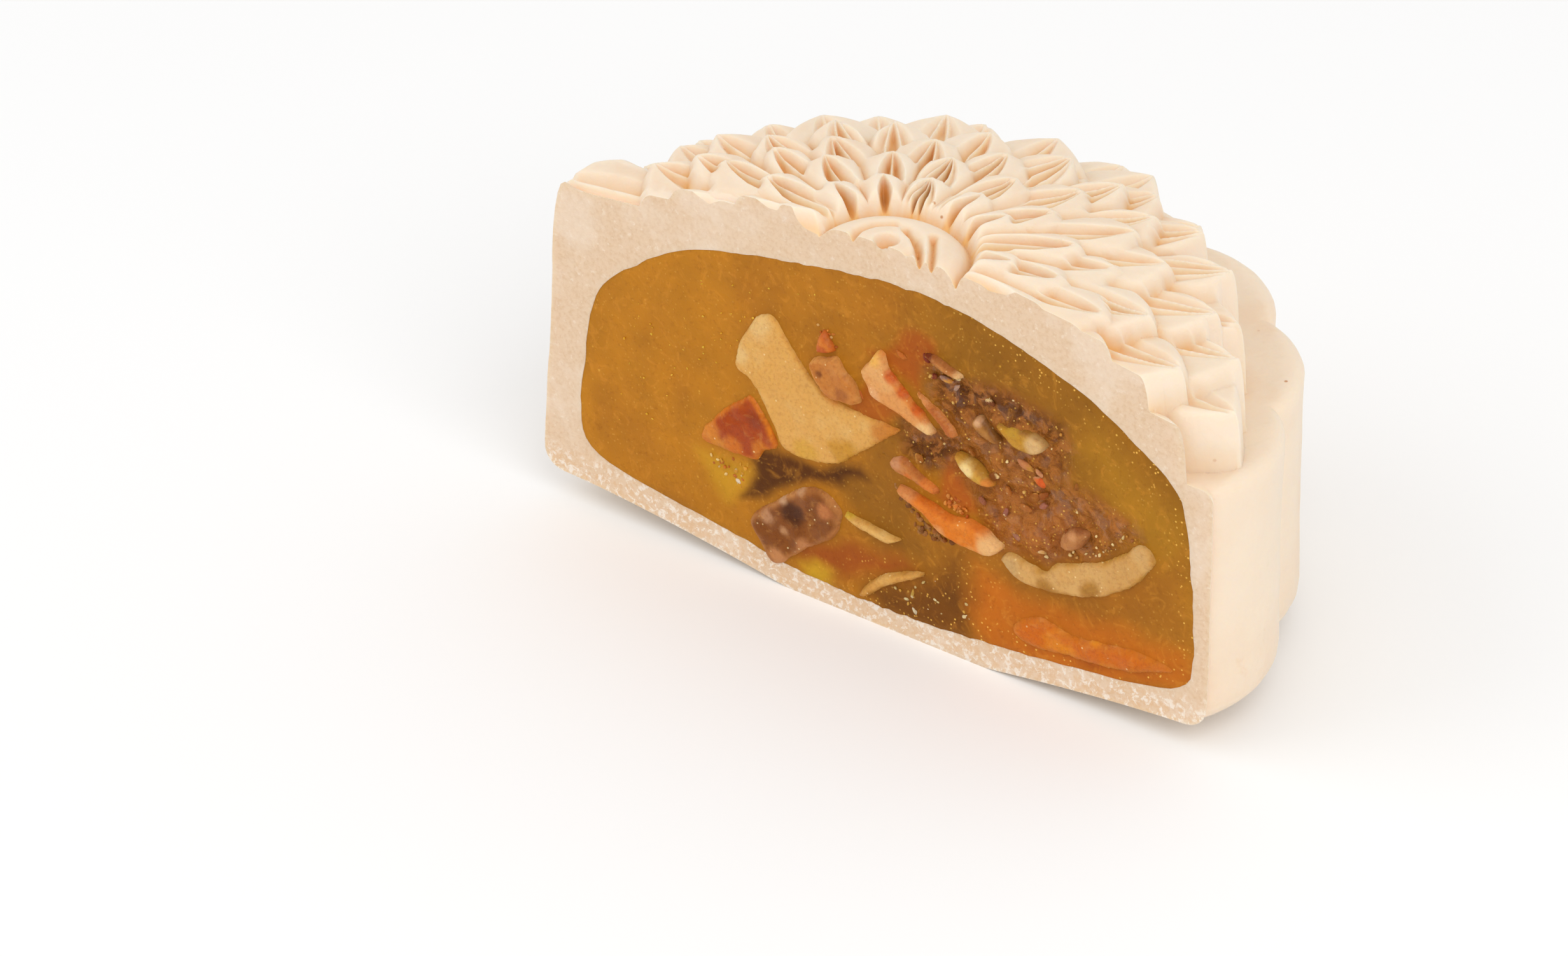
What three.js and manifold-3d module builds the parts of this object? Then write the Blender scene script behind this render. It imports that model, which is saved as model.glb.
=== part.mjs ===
// A momoyama mooncake cut in half: a pale bean-paste skin moulded with a
// chrysanthemum, round a fruit-jelly filling with nuts, peel and seeds in it.
// Millimetres, +Z up. The cut faces -Y. Inside this file the cake's axis is
// x = y = 0 and z = 0 is the height of the cut face's bottom corners.
import * as THREE from 'three';
import { mergeVertices } from 'three/addons/utils/BufferGeometryUtils.js';
import Module from 'manifold-3d';

const wasm = await Module();
wasm.setup();

// Driving dimensions of the cake
const CAKE_RADIUS = 39;          // over the crests of the wall's lobes
const CUSP_RADIUS = 36.9;        // in the grooves between lobes
const LOBE_COUNT = 15;
const LOBE_PHASE_DEG = 1.1;      // one groove's direction, from +X
const LEDGE_HEIGHT = 25.6;       // top of the wall, foot of the petals
const LEDGE_ROUNDING = 1.2;
const WALL_HEIGHTS = [15, 6];    // between the ledge and the base's rounding
const BASE_ROUNDING = 2.4;
const BASE_FLARE = 0.8;          // the wall spreads this much at the base
const LEAN = 1.29;               // the base sits this far towards -X
const BASE_BULGE = 3.0;          // the base sags below the cut's corners
const BASE_CORNER_DROP = 0.4;
const BASE_FLAT_SHARE = 0.3;     // share of the radius on which it rests
const BASE_FLAT_STRETCH = 0.4;   // the flat spot is longer away from the cut
const BASE_RINGS = [0.75, 0.5, 0.25];  // shares of the base's radius
const CORNER_TURNS = [0, 0.5, 1];      // shares of the quarter turn of a rounding
const COLUMN_DEG = 4;            // the wall's mesh has a column this often
const FIT_GAP = 0.3;             // clear gap between two pieces

// The petals: rings of pointed arches, each ring half a petal on from the last
const PETAL_COUNT = 17;
const PETAL_PHASE_DEG = -2.1;
const PETAL_RINGS = [
  // tip: radius at the foot of the tip; crest: height of the rim;
  // wall: width of the outer slope; hollow: depth inside the rim
  { tip: 12.4, crest: 38.8, wall: 0.7, hollow: 1.5 },
  { tip: 15.4, crest: 38.2, wall: 0.7, hollow: 1.4 },
  { tip: 18.8, crest: 37.8, wall: 0.9, hollow: 1.5 },
  { tip: 23.4, crest: 36.8, wall: 0.9, hollow: 1.5 },
  { tip: 28.9, crest: 35.9, wall: 1.4, hollow: 1.5 },
  { tip: 32.6, crest: 33.6, wall: 1.1, hollow: 1.4 },
  { tip: 36.7, crest: 31.3, wall: 1.1, hollow: 1.4 },
  { tip: 37.0, crest: 29.8, wall: 1.0, hollow: 1.4 },
];
const PETAL_RISE = 0.05;         // a rim climbs inwards by this much a millimetre
const RIM_WIDTH = 1.1;           // crest to hollow
const RIB_HEIGHT = 0.8;          // a rib runs along the middle of each hollow
const FINE_ARCH = [1, 0.5, 0.15, 0];   // shares of the arch from shoulder to tip
const PLAIN_ARCH = [1, 0.45, 0];
const FINE_RINGS_FROM = 6;
const ARCH_LENGTH = 2.6;         // shortest from a petal's shoulder to its tip
const TIP_INSET = 1.2;           // a tip draws back faster than the sides do
const ROOT_OVERLAP = 0.8;        // a petal starts this far under the ring inside
const THINNEST = 0.1;            // half width left at a petal's narrowest
const FOOT_OVERLAP = 0.2;        // a petal stands this deep in the ring below
const BEAD_RADIUS = 0.75;        // a bead sits on the tips of some rings
const BEAD_RINGS = [2, 4];
const BEAD_SETBACK = 1.5;        // in widths of the outer slope, from the tip
const PETAL_ROOT = 24.5;         // the petals grow out of the dome from here
const DOME = [[8, 36], [13, 35.7], [18.8, 34.4], [23.4, 32.8], [29, 29.4], [33, 27.8],
  [36, 26.1]];                   // radius, height of the dome under the petals

// The round button in the middle of the flower, from its rim to its pit
const BUTTON_RADIUS = 8.2;
const BUTTON_PROFILE = [[BUTTON_RADIUS, 36.4], [7.9, 37.5], [7, 38.3], [5.4, 38.2], [3.7, 37.8],
  [2.5, 38.5], [1.3, 38.1], [0, 36.9]];
const BUTTON_SEGMENTS = 32;
const BUTTON_VALLEY = 0.4;       // gap between the button and the first petals
const BUTTON_OVERLAP = 1.2;      // the first petals start this far under it

// The filling's outline at the cut, from top centre round to bottom centre
const FILLING_RIGHT = [[0, 34.8], [8, 34.9], [15, 33.5], [20, 32], [25, 30], [30, 27],
  [33.5, 24.3], [35, 20], [36, 13], [36.6, 7], [35.6, 4], [30, 1.9], [20, 0.4], [10, -0.7], [0, -1.3]];
const FILLING_LEFT = [[0, 34.8], [-10, 33.2], [-20, 31], [-25, 29], [-30, 25.4], [-33, 22.5],
  [-34.6, 19], [-35.6, 13], [-36.2, 7], [-35, 3.6], [-30, 2], [-20, 0.6], [-10, -0.9], [0, -1.3]];
const FILLING_DRAWN_IN = 0.055;  // it is this much narrower away from the cut
const FILLING_DRAWN_BY_DEG = 18;
const FILLING_ROWS = 16;
const FILLING_COLUMNS = 18;

// Pieces in the filling that the cut shows. outline: x, z at the cut;
// depth: how far back it reaches; proud: how far it stands out of the cut;
// taper: size of its far end against the cut.
const MORSEL_FRONT_SIZE = 0.86;    // of the rounded front against the widest
const MORSEL_WIDEST_AT = 0.15;     // share of the depth
const INCLUSIONS = {
  pale_slice: {
    colour: '#e6bd78', depth: 3.2, proud: 0.25, taper: 0.9, sides: 18,
    outline: [[-17.3, 20.2], [-15.2, 18], [-13, 14.6], [-11.4, 12.2], [-6.4, 12.2], [-2.6, 15],
      [1.6, 19], [-2, 19.5], [-6.6, 20], [-9.4, 22.6], [-10.8, 24.6], [-13.2, 26.6], [-15.6, 24.6]],
  },
  nut_flake: {
    colour: '#d9a273', depth: 2.4, proud: 0.9, taper: 0.6, sides: 14,
    outline: [[-5.1, 24.9], [-3.2, 22.8], [-2.5, 20.8], [-4.2, 20.35], [-6.4, 20.6], [-8.1, 22.8],
      [-7.3, 24.1]],
  },
  orange_chip: {
    colour: '#e8a24a', depth: 2.2, proud: 0.7, taper: 0.6, sides: 10,
    outline: [[-6.8, 27.3], [-5.7, 25.7], [-6.3, 24.9], [-7.6, 24.9], [-7.5, 26.2]],
  },
  almond_sliver: {
    colour: '#ecb06a', depth: 3.6, proud: 0.8, taper: 0.7, sides: 18,
    outline: [[-2.1, 24.6], [-1.3, 26], [-0.3, 27.2], [0.6, 26.4], [1.8, 24.9], [4.2, 22.7],
      [5.9, 20.9], [5.3, 20.3], [2.6, 21.2], [-0.4, 22]],
  },
  red_sliver: {
    colour: '#b5552a', depth: 2.6, proud: 0.6, taper: 0.7, sides: 12,
    outline: [[3.7, 24.8], [5.4, 23.9], [7.4, 22.5], [8.7, 21.3], [7.9, 20.8], [6.6, 21.7], [4.9, 23.3]],
  },
  pale_strip: {
    colour: '#dba566', depth: 2.2, proud: 0.6, taper: 0.7, sides: 12,
    outline: [[4.9, 28.9], [6.2, 29.1], [8.2, 28.5], [9.5, 27.8], [8.4, 27.4], [6.3, 28]],
  },
  green_peel: {
    colour: '#cfa24c', depth: 3, proud: 0.5, taper: 0.7, sides: 14,
    outline: [[13.1, 24.2], [14.6, 24.7], [17.4, 24.6], [18.8, 23.9], [17.6, 22.5], [15.4, 22.4],
      [14.2, 23]],
  },
  small_peel: {
    colour: '#c2944a', depth: 2, proud: 0.5, taper: 0.7, sides: 10,
    outline: [[10.3, 23.7], [11.4, 24.3], [12.6, 23.2], [13.4, 22.1], [12, 22], [10.7, 22.8]],
  },
  melon_seed: {
    colour: '#ddb46c', depth: 2, proud: 0.8, taper: 0.6, sides: 12,
    outline: [[8.3, 19.2], [10, 19.3], [11.9, 18.2], [12.8, 17.2], [11.2, 16.9], [9.4, 17.7]],
  },
  almond_upper: {
    colour: '#d9975a', depth: 3.2, proud: 0.7, taper: 0.7, sides: 12,
    outline: [[0.9, 16], [2.4, 16.7], [4.2, 15.6], [6.3, 14.7], [6.2, 13.95], [3.8, 14.5], [1.6, 14.9]],
  },
  almond_lower: {
    colour: '#e89a3e', depth: 4, proud: 1.0, taper: 0.75, sides: 18,
    outline: [[2.1, 13.3], [4, 13.4], [8, 12.6], [11.6, 12.3], [13.5, 11], [12.4, 9.6], [8.6, 9.6],
      [5.8, 10.8], [3.2, 12.2]],
  },
  pink_morsel: {
    colour: '#c98d63', depth: 2.4, proud: 0.6, taper: 0.6, sides: 12,
    outline: [[20.3, 13.8], [20.9, 15.4], [22.4, 16.3], [23.4, 15.9], [22.7, 14.3], [21.4, 13.4]],
  },
  coconut_arc: {
    colour: '#d9ab66', depth: 4.2, proud: 0.5, taper: 0.85, sides: 22,
    outline: [[13.7, 10.1], [15.4, 10.7], [18.4, 10.3], [20.6, 12], [24.6, 13.5], [28.2, 16.5],
      [30, 17.3], [31.2, 15.7], [28.8, 12.4], [24.6, 9.4], [20.6, 8.2], [16, 7.9], [13.9, 8.7]],
  },
  thin_sliver: {
    colour: '#ddb26a', depth: 2.4, proud: 0.6, taper: 0.8, sides: 14,
    outline: [[-4.4, 8.1], [-2.2, 7.9], [0.6, 7.4], [2.1, 7.4], [1, 6.4], [-1.6, 6.5], [-3.9, 7.2]],
  },
  seed_sliver: {
    colour: '#dcb063', depth: 2.4, proud: 0.6, taper: 0.8, sides: 14,
    outline: [[-3, -0.5], [-1.6, 1.5], [1.4, 3.5], [4.8, 4.8], [4.2, 3.8], [1.6, 2.2], [-1, 0.4],
      [-2.2, -0.7]],
  },
  orange_peel: {
    colour: '#c96a24', depth: 4.5, proud: 0.35, taper: 0.8, sides: 16,
    outline: [[14.8, 2.8], [18, 4.9], [22, 4.4], [27.6, 5.3], [33.2, 5], [34.2, 4.2], [28, 2.5],
      [21.6, 1.6], [16.2, 1.2]],
  },
  red_peel: {
    colour: '#bd6127', depth: 4.2, proud: 0.4, taper: 0.8, sides: 16,
    outline: [[-15.5, 16.6], [-13.6, 14.4], [-12.5, 12], [-14.2, 10.4], [-17, 9.2], [-21.4, 9.4],
      [-19.8, 12.6], [-17.6, 15.3]],
  },
  brown_fruit: {
    colour: '#8a5226', depth: 6, proud: 0.6, taper: 0.75, sides: 16, hollowed: true,
    outline: [[-15.7, 3], [-12.9, 6.1], [-9.6, 8.9], [-7.2, 9.4], [-5.2, 8.2], [-5, 5.6], [-8.4, 2.8],
      [-11.6, -0.3], [-13.8, -0.4], [-15.2, 1.2]],
  },
};
const HOLLOW_CENTRE = [-9.2, 5];   // the stone's hollow in the brown fruit
const HOLLOW_HALF_LENGTH = 2.2;
const HOLLOW_HALF_WIDTH = 0.8;
const HOLLOW_TURN = 0.75;          // radians from +X
const HOLLOW_DEPTH = 1.4;

const SMALLEST_STEP = 0.03;        // finer steps in the skin's surface are merged
const WELD = 1e-4;

const SKIN_COLOUR = '#ecd6b4';
const FILLING_COLOUR = '#b27a2c';

const clamp01 = (t) => Math.min(1, Math.max(0, t));
const mix = (a, b, t) => a + (b - a) * t;

function smooth(t) {
  const s = clamp01(t);
  return s * s * (3 - 2 * s);
}

// Where an angle lies across repeated features: -0.5 to 0.5 round the nearest.
function phaseOf(angle, start, period) {
  const turns = (angle - start) / period;
  return turns - Math.round(turns);
}

// Radius of the scalloped wall: round lobes that meet in sharp grooves.
function lobedRadius(theta) {
  const start = THREE.MathUtils.degToRad(LOBE_PHASE_DEG);
  const groove = Math.abs(phaseOf(theta, start, 2 * Math.PI / LOBE_COUNT));
  const across = 1 - 2 * groove;
  return CUSP_RADIUS + (CAKE_RADIUS - CUSP_RADIUS) * Math.pow(1 - across * across, 0.75);
}

// Height of the sagging base, flat where the half cake rests.
function baseHeight(x, y) {
  const out = Math.hypot(x, BASE_FLAT_STRETCH * y) / CAKE_RADIUS;
  const rise = clamp01((out - BASE_FLAT_SHARE) / (1 - BASE_FLAT_SHARE));
  return BASE_BULGE * (1 - Math.pow(1 - rise, 1.5)) - BASE_BULGE - BASE_CORNER_DROP;
}

// Point of the outside in a direction: the base shifts sideways as it leans.
function leaning(radius, theta, z) {
  const sine = theta === 0 || theta === Math.PI ? 0 : Math.sin(theta);
  return [radius * Math.cos(theta) + LEAN * (z - LEDGE_HEIGHT) / LEDGE_HEIGHT, radius * sine, z];
}

// One column of the bare cake in a direction: dome, ledge, wall and base.
function outsideColumn(theta) {
  const rim = lobedRadius(theta);
  const column = DOME.map(([r, z]) => leaning(Math.min(r, rim - LEDGE_ROUNDING - FOOT_OVERLAP), theta, z));
  for (const turn of CORNER_TURNS) {
    const angle = turn * Math.PI / 2;
    const r = rim - LEDGE_ROUNDING * (1 - Math.sin(angle));
    column.push(leaning(r, theta, LEDGE_HEIGHT - LEDGE_ROUNDING * (1 - Math.cos(angle))));
  }
  const wallRadius = (z) => rim + BASE_FLARE * Math.pow(1 - z / LEDGE_HEIGHT, 1.5);
  for (const z of WALL_HEIGHTS) column.push(leaning(wallRadius(z), theta, z));
  const baseRim = wallRadius(BASE_ROUNDING);
  for (const turn of CORNER_TURNS) {
    const angle = turn * Math.PI / 2;
    const r = baseRim - BASE_ROUNDING * (1 - Math.cos(angle));
    const [x, y] = leaning(r, theta, 0);
    column.push([x, y, baseHeight(x, y) + BASE_ROUNDING * (1 - Math.sin(angle))]);
  }
  for (const share of BASE_RINGS) {
    const [x, y] = leaning((baseRim - BASE_ROUNDING) * share, theta, 0);
    column.push([x, y, baseHeight(x, y)]);
  }
  return column;
}

// A point of a petal: out along its middle line, then sideways from it.
function petalPoint(middle, radius, sideways, z) {
  const theta = middle + sideways / radius;
  const x = radius * Math.cos(theta) + LEAN * (z - LEDGE_HEIGHT) / LEDGE_HEIGHT;
  return [x, radius * Math.sin(theta), z];
}

// One petal as a closed solid: skirt, outer slope, rim, hollow and rib. Each
// line runs from the root along one side, round the tip and back.
function petalSolid(ring, middle) {
  const { tip, crest, wall, hollow } = PETAL_RINGS[ring];
  const innerTip = ring > 0 ? PETAL_RINGS[ring - 1].tip : BUTTON_RADIUS + BUTTON_VALLEY;
  const shoulder = Math.min(innerTip, tip - ARCH_LENGTH);
  const root = ring > 1 ? PETAL_RINGS[ring - 2].tip - ROOT_OVERLAP : BUTTON_RADIUS - BUTTON_OVERLAP;
  const below = PETAL_RINGS[ring + 1];
  const foot = below ? below.crest - below.hollow - FOOT_OVERLAP : LEDGE_HEIGHT;
  const halfTurn = Math.PI / PETAL_COUNT;
  const arch = ring < FINE_RINGS_FROM ? PLAIN_ARCH : FINE_ARCH;

  const sideLine = (inset, z, side) => {
    const end = tip - TIP_INSET * inset;
    const stations = [root, ...arch.map((u) => end - (end - shoulder) * u)];
    return stations.map((r, i) => {
      const u = i === 0 ? 1 : arch[i - 1];
      const halfWidth = Math.max(THINNEST, r * halfTurn - inset) * (2 * u - u * u);
      return petalPoint(middle, r, side * halfWidth, z + PETAL_RISE * (tip - r));
    });
  };
  const roundTip = (inset, z) => {
    const back = sideLine(inset, z, 1).reverse();
    return [...sideLine(inset, z, -1), ...back.slice(1)];
  };
  const floor = crest - hollow;
  const inner = wall + RIM_WIDTH;
  const half = arch.length + 1;
  const lines = [roundTip(0, PETAL_ROOT), roundTip(0, foot), roundTip(wall, crest),
    roundTip(inner, floor)];
  // The rib runs along the middle at the stations of the innermost line.
  const end = tip - TIP_INSET * inner;
  const stations = [root, ...arch.map((u) => end - (end - shoulder) * u)];
  const rib = stations.map((r) => petalPoint(middle, r, 0, floor + RIB_HEIGHT + PETAL_RISE * (tip - r)));
  rib[half - 1] = lines[3][half - 1];

  const points = lines.flat();
  const count = lines[0].length;
  const faces = [];
  const quad = (a, b, c, d) => faces.push([a, b, c], [a, c, d]);
  for (let l = 0; l + 1 < lines.length; l += 1) {
    for (let i = 0; i + 1 < count; i += 1) {
      quad(l * count + i, l * count + i + 1, (l + 1) * count + i + 1, (l + 1) * count + i);
    }
  }
  const innermost = (lines.length - 1) * count;
  const ribStart = points.push(...rib) - half;
  for (let i = 0; i + 1 < half; i += 1) {
    const back = innermost + count - 1 - i;
    quad(innermost + i, innermost + i + 1, ribStart + i + 1, ribStart + i);
    quad(ribStart + i, ribStart + i + 1, back - 1, back);
  }
  // The flat underside, and the end at the root.
  for (let i = 0; i + 1 < half; i += 1) {
    quad(i + 1, i, count - 1 - i, count - 2 - i);
  }
  const rootEnd = [0, count, 2 * count, innermost, ribStart, innermost + count - 1,
    3 * count - 1, 2 * count - 1, count - 1];
  const centre = points.push(petalPoint(middle, root, 0, (PETAL_ROOT + floor) / 2)) - 1;
  rootEnd.forEach((from, i) => faces.push([centre, from, rootEnd[(i + 1) % rootEnd.length]]));
  return solidFrom(points, faces);
}

// Every petal of the kept half, and the beads on some rings' tips.
function petals() {
  const halfTurn = Math.PI / PETAL_COUNT;
  const parts = [];
  PETAL_RINGS.forEach(({ tip, crest, wall }, ring) => {
    const first = THREE.MathUtils.degToRad(PETAL_PHASE_DEG) + (ring % 2) * halfTurn;
    for (let middle = first; middle < Math.PI + halfTurn; middle += 2 * halfTurn) {
      parts.push(petalSolid(ring, middle));
      if (BEAD_RINGS.includes(ring)) {
        const bead = new THREE.IcosahedronGeometry(BEAD_RADIUS, 0);
        bead.translate(...petalPoint(middle, tip - BEAD_SETBACK * wall, 0, crest + FOOT_OVERLAP));
        parts.push(solidOf(bead));
      }
    }
  });
  return parts;
}

// The button in the middle, turned about the axis.
function button() {
  const profile = [[0, PETAL_ROOT], [BUTTON_RADIUS, PETAL_ROOT], ...BUTTON_PROFILE];
  const geometry = new THREE.LatheGeometry(profile.map(([r, z]) => new THREE.Vector2(r, z)),
    BUTTON_SEGMENTS);
  geometry.rotateX(Math.PI / 2);
  geometry.translate(LEAN * (BUTTON_PROFILE[0][1] - LEDGE_HEIGHT) / LEDGE_HEIGHT, 0, 0);
  return solidOf(geometry);
}

// A closed solid from columns swept over the half turn about one axis point
// above and one below, shut by a flat face in the plane of the cut.
function sweptHalf(columns, topPoint, bottomPoint) {
  const rows = columns[0].length;
  const points = [topPoint, bottomPoint, ...columns.flat()];
  const index = (column, row) => 2 + column * rows + row;
  const faces = [];
  for (let c = 0; c + 1 < columns.length; c += 1) {
    faces.push([0, index(c, 0), index(c + 1, 0)]);
    faces.push([1, index(c + 1, rows - 1), index(c, rows - 1)]);
    for (let r = 0; r + 1 < rows; r += 1) {
      faces.push([index(c, r), index(c, r + 1), index(c + 1, r + 1)]);
      faces.push([index(c, r), index(c + 1, r + 1), index(c + 1, r)]);
    }
  }
  const last = columns.length - 1;
  const loop = [0];
  for (let r = 0; r < rows; r += 1) loop.push(index(last, r));
  loop.push(1);
  for (let r = rows - 1; r >= 0; r -= 1) loop.push(index(0, r));
  const flat = loop.map((i) => new THREE.Vector2(points[i][0], points[i][2]));
  for (const [a, b, c] of THREE.ShapeUtils.triangulateShape(flat, [])) {
    faces.push([loop[a], loop[b], loop[c]]);
  }
  return solidFrom(points, faces);
}

function geometryFrom(points, faces) {
  const geometry = new THREE.BufferGeometry();
  geometry.setAttribute('position', new THREE.Float32BufferAttribute(points.flat(), 3));
  geometry.setIndex(faces.flat());
  return geometry;
}

function solidFrom(points, faces) {
  const geometry = mergeVertices(geometryFrom(points, faces), WELD);
  return manifoldOf(geometry.attributes.position.array, geometry.index.array);
}

function manifoldOf(positions, indices) {
  const vertProperties = new Float32Array(positions);
  const triVerts = new Uint32Array(indices);
  return new wasm.Manifold(new wasm.Mesh({ numProp: 3, vertProperties, triVerts }));
}

// A closed three.js shape as a solid, without the triangles that collapse
// to a line at its poles.
function solidOf(shape) {
  shape.deleteAttribute('normal');
  shape.deleteAttribute('uv');
  const merged = mergeVertices(shape, WELD);
  const kept = [];
  for (let i = 0; i < merged.index.count; i += 3) {
    const [a, b, c] = merged.index.array.slice(i, i + 3);
    if (a !== b && b !== c && c !== a) kept.push(a, b, c);
  }
  return manifoldOf(merged.attributes.position.array, kept);
}

function meshFrom(name, solid, colour, roughness) {
  const { numProp, vertProperties, triVerts } = solid.getMesh();
  const positions = [];
  for (let i = 0; i < vertProperties.length; i += numProp) {
    positions.push(...vertProperties.slice(i, i + 3));
  }
  const geometry = new THREE.BufferGeometry();
  geometry.setAttribute('position', new THREE.Float32BufferAttribute(positions, 3));
  geometry.setIndex(Array.from(triVerts));
  geometry.computeVertexNormals();
  const material = new THREE.MeshStandardMaterial({ color: colour, roughness, metalness: 0 });
  const mesh = new THREE.Mesh(geometry, material);
  mesh.name = name;
  return mesh;
}

// A smooth run through outline points, evenly sampled.
function smoothRun(outline, closed, samples) {
  const points = outline.map(([x, z]) => new THREE.Vector3(x, 0, z));
  const curve = new THREE.CatmullRomCurve3(points, closed, 'centripetal');
  return curve.getSpacedPoints(samples).map((p) => [p.x, p.z]);
}

// Moves each point of a run to the run's left-hand side.
function pushedLeft(run, distance) {
  return run.map(([x, z], i) => {
    const before = run[Math.max(0, i - 1)];
    const after = run[Math.min(run.length - 1, i + 1)];
    const dx = after[0] - before[0];
    const dz = after[1] - before[1];
    const length = Math.hypot(dx, dz);
    return [x - distance * dz / length, z + distance * dx / length];
  });
}

// The filling's body: its right and left outlines, blended round the axis.
function fillingBody(grow) {
  const right = pushedLeft(smoothRun(FILLING_RIGHT, false, FILLING_ROWS), grow);
  const mirrored = FILLING_LEFT.map(([x, z]) => [-x, z]);
  const left = pushedLeft(smoothRun(mirrored, false, FILLING_ROWS), grow);
  const top = [0, 0, right[0][1]];
  const bottom = [0, 0, right[FILLING_ROWS][1]];
  const columns = [];
  for (let c = 0; c <= FILLING_COLUMNS; c += 1) {
    const theta = Math.PI * c / FILLING_COLUMNS;
    const toLeft = (1 - Math.cos(theta)) / 2;
    const sine = c === 0 || c === FILLING_COLUMNS ? 0 : Math.sin(theta);
    const fromCut = THREE.MathUtils.radToDeg(Math.min(theta, Math.PI - theta));
    const drawn = 1 - FILLING_DRAWN_IN * smooth(fromCut / FILLING_DRAWN_BY_DEG);
    columns.push(right.slice(1, FILLING_ROWS).map(([x, z], i) => {
      const radius = drawn * mix(x, left[i + 1][0], toLeft);
      return [radius * Math.cos(theta), radius * sine, mix(z, left[i + 1][1], toLeft)];
    }));
  }
  return sweptHalf(columns, top, bottom);
}

// A morsel of the filling: its outline at the cut, rounded off at the front.
function inclusionBody({ outline, depth, proud, taper, sides }, grow) {
  const run = smoothRun(outline, true, sides).slice(0, sides);
  if (THREE.ShapeUtils.isClockWise(run.map(([x, z]) => new THREE.Vector2(x, z)))) run.reverse();
  const centreX = run.reduce((sum, [x]) => sum + x, 0) / sides;
  const centreZ = run.reduce((sum, [, z]) => sum + z, 0) / sides;
  const grown = pushedLeft([run[sides - 1], ...run, run[0]], -grow).slice(1, sides + 1);
  const sections = [[-proud - grow, MORSEL_FRONT_SIZE], [MORSEL_WIDEST_AT * depth, 1], [depth + grow, taper]];
  const points = [];
  for (const [y, size] of sections) {
    for (const [x, z] of grown) {
      points.push([centreX + (x - centreX) * size, y, centreZ + (z - centreZ) * size]);
    }
  }
  const faces = [];
  for (let s = 0; s + 1 < sections.length; s += 1) {
    for (let i = 0; i < sides; i += 1) {
      const next = (i + 1) % sides;
      const [a, b] = [s * sides + i, s * sides + next];
      const [c, d] = [(s + 1) * sides + next, (s + 1) * sides + i];
      faces.push([a, d, c], [a, c, b]);
    }
  }
  const flat = grown.map(([x, z]) => new THREE.Vector2(x, z));
  const far = (sections.length - 1) * sides;
  for (const [a, b, c] of THREE.ShapeUtils.triangulateShape(flat, [])) {
    faces.push([a, b, c], [far + a, far + c, far + b]);
  }
  return solidFrom(points, faces);
}

// The stone's hollow: a slanting oval dish in the brown fruit's cut face.
function stoneHollow(proud) {
  const geometry = new THREE.SphereGeometry(1, 12, 8);
  geometry.scale(HOLLOW_HALF_LENGTH, HOLLOW_DEPTH + proud, HOLLOW_HALF_WIDTH);
  geometry.rotateY(-HOLLOW_TURN);
  geometry.translate(HOLLOW_CENTRE[0], -proud, HOLLOW_CENTRE[1]);
  return solidOf(geometry);
}

// The skin: the bare cake with petals and button fused on, cut through the
// axis, and hollowed for the filling.
function makeSkin() {
  const degrees = [0];
  for (let d = LOBE_PHASE_DEG + COLUMN_DEG; d < 180 - COLUMN_DEG / 2; d += COLUMN_DEG) degrees.push(d);
  degrees.push(180);
  const columns = degrees.map((d) => outsideColumn(d === 180 ? Math.PI : THREE.MathUtils.degToRad(d)));
  const top = leaning(0, 0, DOME[0][1]);
  const bottom = leaning(0, 0, 0);
  bottom[2] = baseHeight(0, 0);
  const kept = new THREE.BoxGeometry(3 * CAKE_RADIUS, 2 * CAKE_RADIUS, 3 * CAKE_RADIUS);
  kept.translate(0, CAKE_RADIUS, 0);
  const relief = wasm.Manifold.union([...petals(), button()]).intersect(solidOf(kept));
  return sweptHalf(columns, top, bottom).add(relief).subtract(fillingBody(FIT_GAP)).simplify(SMALLEST_STEP);
}

const group = new THREE.Group();
group.add(meshFrom('skin', makeSkin(), SKIN_COLOUR, 0.75));
let filling = fillingBody(0);
for (const [name, spec] of Object.entries(INCLUSIONS)) {
  let morsel = inclusionBody(spec, 0);
  filling = filling.subtract(inclusionBody(spec, FIT_GAP));
  if (spec.hollowed) morsel = morsel.subtract(stoneHollow(spec.proud));
  group.add(meshFrom(name, morsel, spec.colour, 0.4));
}
group.add(meshFrom('filling', filling, FILLING_COLOUR, 0.3));

// The origin is under the middle of the half cake, on what it rests on.
const box = new THREE.Box3().setFromObject(group);
group.position.set(-(box.min.x + box.max.x) / 2, -(box.min.y + box.max.y) / 2, -box.min.z);

export default group;
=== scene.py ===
import itertools
import math

import bmesh
import bpy
import numpy as np
from mathutils import Matrix, Vector
from mathutils.geometry import delaunay_2d_cdt


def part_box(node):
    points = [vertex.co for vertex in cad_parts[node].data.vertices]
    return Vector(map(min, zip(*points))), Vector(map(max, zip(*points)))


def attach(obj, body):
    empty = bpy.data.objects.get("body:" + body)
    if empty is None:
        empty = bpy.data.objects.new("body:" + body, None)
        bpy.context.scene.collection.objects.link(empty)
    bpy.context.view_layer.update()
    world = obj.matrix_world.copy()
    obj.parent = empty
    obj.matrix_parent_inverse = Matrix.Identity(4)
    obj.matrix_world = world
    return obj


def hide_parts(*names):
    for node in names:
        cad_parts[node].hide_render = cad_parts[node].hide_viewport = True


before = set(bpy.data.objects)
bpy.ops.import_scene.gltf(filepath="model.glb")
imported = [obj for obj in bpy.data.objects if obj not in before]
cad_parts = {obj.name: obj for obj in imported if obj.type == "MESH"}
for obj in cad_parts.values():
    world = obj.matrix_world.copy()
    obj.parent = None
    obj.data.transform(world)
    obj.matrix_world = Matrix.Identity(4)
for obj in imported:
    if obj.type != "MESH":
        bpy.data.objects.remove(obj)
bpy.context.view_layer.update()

mm = 0.001
skinLow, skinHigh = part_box("skin")

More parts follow.
